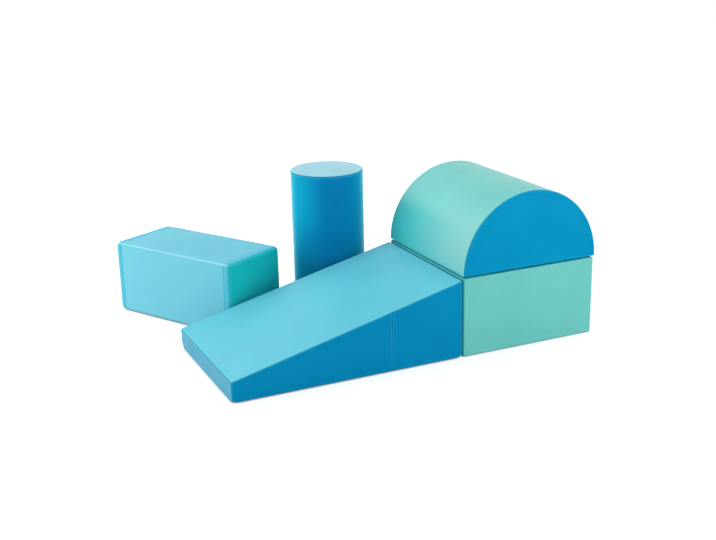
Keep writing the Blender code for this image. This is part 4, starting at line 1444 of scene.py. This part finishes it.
def dress_arch():
    arch = Block("arch")
    _, _, front, back, bottom, _ = arch.sides
    width, height = arch.size[1:]
    radius = height - VAULT_SKIRT
    arch.sides = [Round(radius, VAULT_SKIRT), front, back, bottom]
    lay = Vault(radius, VAULT_SKIRT, width)
    curved = Panel(arch, lay, Polygon(rectangle(width, lay.run)), seed=301)
    dress(curved, "curved_panel", VINYL_VAULT_MINT)
    for seed, (name, across, zipped) in enumerate((("near", 1, False), ("far", -1, True)), 302):
        lay = Sheet((0, -across * width / 2, 0), (across, 0, 0), (0, 0, 1))
        slot = zip_slot(arch, lay) if zipped else None
        panel = Panel(arch, lay, HalfDisc(radius, VAULT_SKIRT), CROWN_HEIGHT, slot, seed=seed)
        dress(panel, f"{name}_end_panel", VINYL_UPPER_LIT_BLUE)
    around = (back, Flat((1, 0, 0), radius), front, Flat((-1, 0, 0), radius))
    sink = ARCH_UNDERSIDE_SINK
    cover(arch, "underside", bottom, around, VINYL_SHADED_BLUE, 0.0, sink=sink, seed=304)
    fit_out(
        arch,
        ("left_hook", (0, 0, -1), HOOK_TAPE, 5),
        ("right_hook", (0, 0, -1), HOOK_TAPE, 6),
    )


def dress_block():
    block = Block("block", -zip_axis("block"))
    left, right, front, back, bottom, top = block.sides
    length, deep, height = block.size
    lay = Sleeve(length, deep, height)
    outline = Polygon(rectangle(length, 2 * height + deep))
    wrap = Panel(block, lay, outline, CROWN_HEIGHT, zip_slot(block, lay), seed=401)
    dress(wrap, "wrap_panel", VINYL_PALE_SKY)
    cover(block, "left_panel", left, (bottom, front, top, back), VINYL_TEAL, seed=402)
    cover(block, "right_panel", right, (bottom, back, top, front), VINYL_TEAL, seed=403)
    underside(block)
    fit_out(block)


def dress_cylinder():
    cylinder = Block("cylinder")
    radius = cylinder.size[0] / 2
    height = cylinder.size[2]
    cylinder.sides = [Round(radius), *cylinder.sides[4:]]
    lay = Drum(radius)
    outline = Polygon(rectangle(tau * radius, height), butts={1, 3})
    slot = zip_slot(cylinder, lay, wrap=tau * radius)
    dress(Panel(cylinder, lay, outline, 0.0, slot, seed=601), "wrap_panel", VINYL_WRAP_BLUE)
    lay = Sheet((0, 0, height), (1, 0, 0), (0, 1, 0))
    disc = Panel(cylinder, lay, Disc(radius), CROWN_HEIGHT, seed=602)
    dress(disc, "top_panel", VINYL_ICE)
    lay = Sheet((0, 0, 0), (1, 0, 0), (0, -1, 0))
    foot = Panel(cylinder, lay, Disc(radius), sink=UNDERSIDE_SINK, seed=603)
    grip_dots(dress(foot, "underside", GRIP_CLOTH))
    fit_out(cylinder)


# The camera, fitted to the photograph's corners. Angles turn right, down and clockwise.
CAMERA_PLACE = (-1.90696, -3.0988, 1.33858)
CAMERA_YAW = radians(24.6)
CAMERA_PITCH = radians(17.61)
CAMERA_ROLL = radians(1.27)
CAMERA_LENS = 55.98

FLOOR_SIZE = 16.0
FLOOR_LEVEL = -0.0006
FLOOR_GREY = 0.80
FLOOR_GLOW = 0.52
# How far the floor's glow is dimmed near the blocks: a painted contact shadow.
CONTACT_SHADOW_REACH = 0.005
WORLD_LIGHT = 0.62

# The soft boxes: their places, their widths and heights, and their power in watts.
LAMPS_AIM = Vector((-0.35, 0.25, 0.25))
LAMPS = {
    "overhead_box": ((-0.5, 0.4, 2.6), (2.4, 2.4), 12),
    "left_box": ((-3.6, 1.5, 1.3), (2.0, 2.0), 40),
    "front_box": ((0.8, -2.3, 0.9), (1.6, 1.4), 20),
    "back_box": ((-1.2, 2.9, 1.9), (1.8, 1.4), 14),
}


def make_camera():
    data = bpy.data.cameras.new("camera")
    data.lens = CAMERA_LENS
    camera = linked("camera", data)
    heading = Matrix.Rotation(-CAMERA_YAW, 4, "Z") @ Matrix.Rotation(pi / 2 - CAMERA_PITCH, 4, "X")
    turn = heading @ Matrix.Rotation(-CAMERA_ROLL, 4, "Z")
    camera.matrix_world = Matrix.Translation(CAMERA_PLACE) @ turn
    bpy.context.scene.camera = camera


def make_floor():
    corners = rectangle(FLOOR_SIZE, FLOOR_SIZE) - FLOOR_SIZE / 2
    floor = mesh_object("floor", [(x, y, FLOOR_LEVEL) for x, y in corners], [(0, 1, 2, 3)])
    paper = Shader("floor_paper", 0.9)
    # The glow is dimmed near the blocks by ambient occlusion: a painted contact shadow.
    contact_shadow = paper.add("AmbientOcclusion", "AO", {"Distance": CONTACT_SHADOW_REACH})
    seen = paper.math("MULTIPLY", paper.background_ray(), contact_shadow)
    glow = paper.math("MULTIPLY", seen, FLOOR_GLOW)
    paper.set(Base_Color=scaled(WHITE, FLOOR_GREY), Specular_IOR_Level=0.1)
    paper.set(Emission_Color=WHITE, Emission_Strength=glow)
    floor.data.materials.append(paper.material)


def make_world():
    world = bpy.data.worlds.new("studio")
    tree = Nodes(world)
    light = tree.nodes["Background"]
    tree.feed(light, {"Color": WHITE, "Strength": WORLD_LIGHT})
    white = tree.add("Background", 0, {"Color": WHITE, "Strength": 1.0})
    mix = tree.add("MixShader", 0, {0: tree.background_ray(), 1: light.outputs[0], 2: white})
    tree.feed(tree.nodes["World Output"], {"Surface": mix})
    bpy.context.scene.world = world


def make_lamps():
    for name, (place, size, power) in LAMPS.items():
        data = bpy.data.lights.new(name, "AREA")
        data.shape = "RECTANGLE"
        data.size, data.size_y = size
        data.energy = power
        lamp = linked(name, data)
        lamp.location = place
        lamp.rotation_euler = (LAMPS_AIM - Vector(place)).to_track_quat("-Z", "Y").to_euler()


dress_base()
dress_ramp()
dress_arch()
dress_block()
dress_cylinder()
make_camera()
bpy.context.scene.view_settings.view_transform = "Standard"
make_floor()
make_world()
make_lamps()
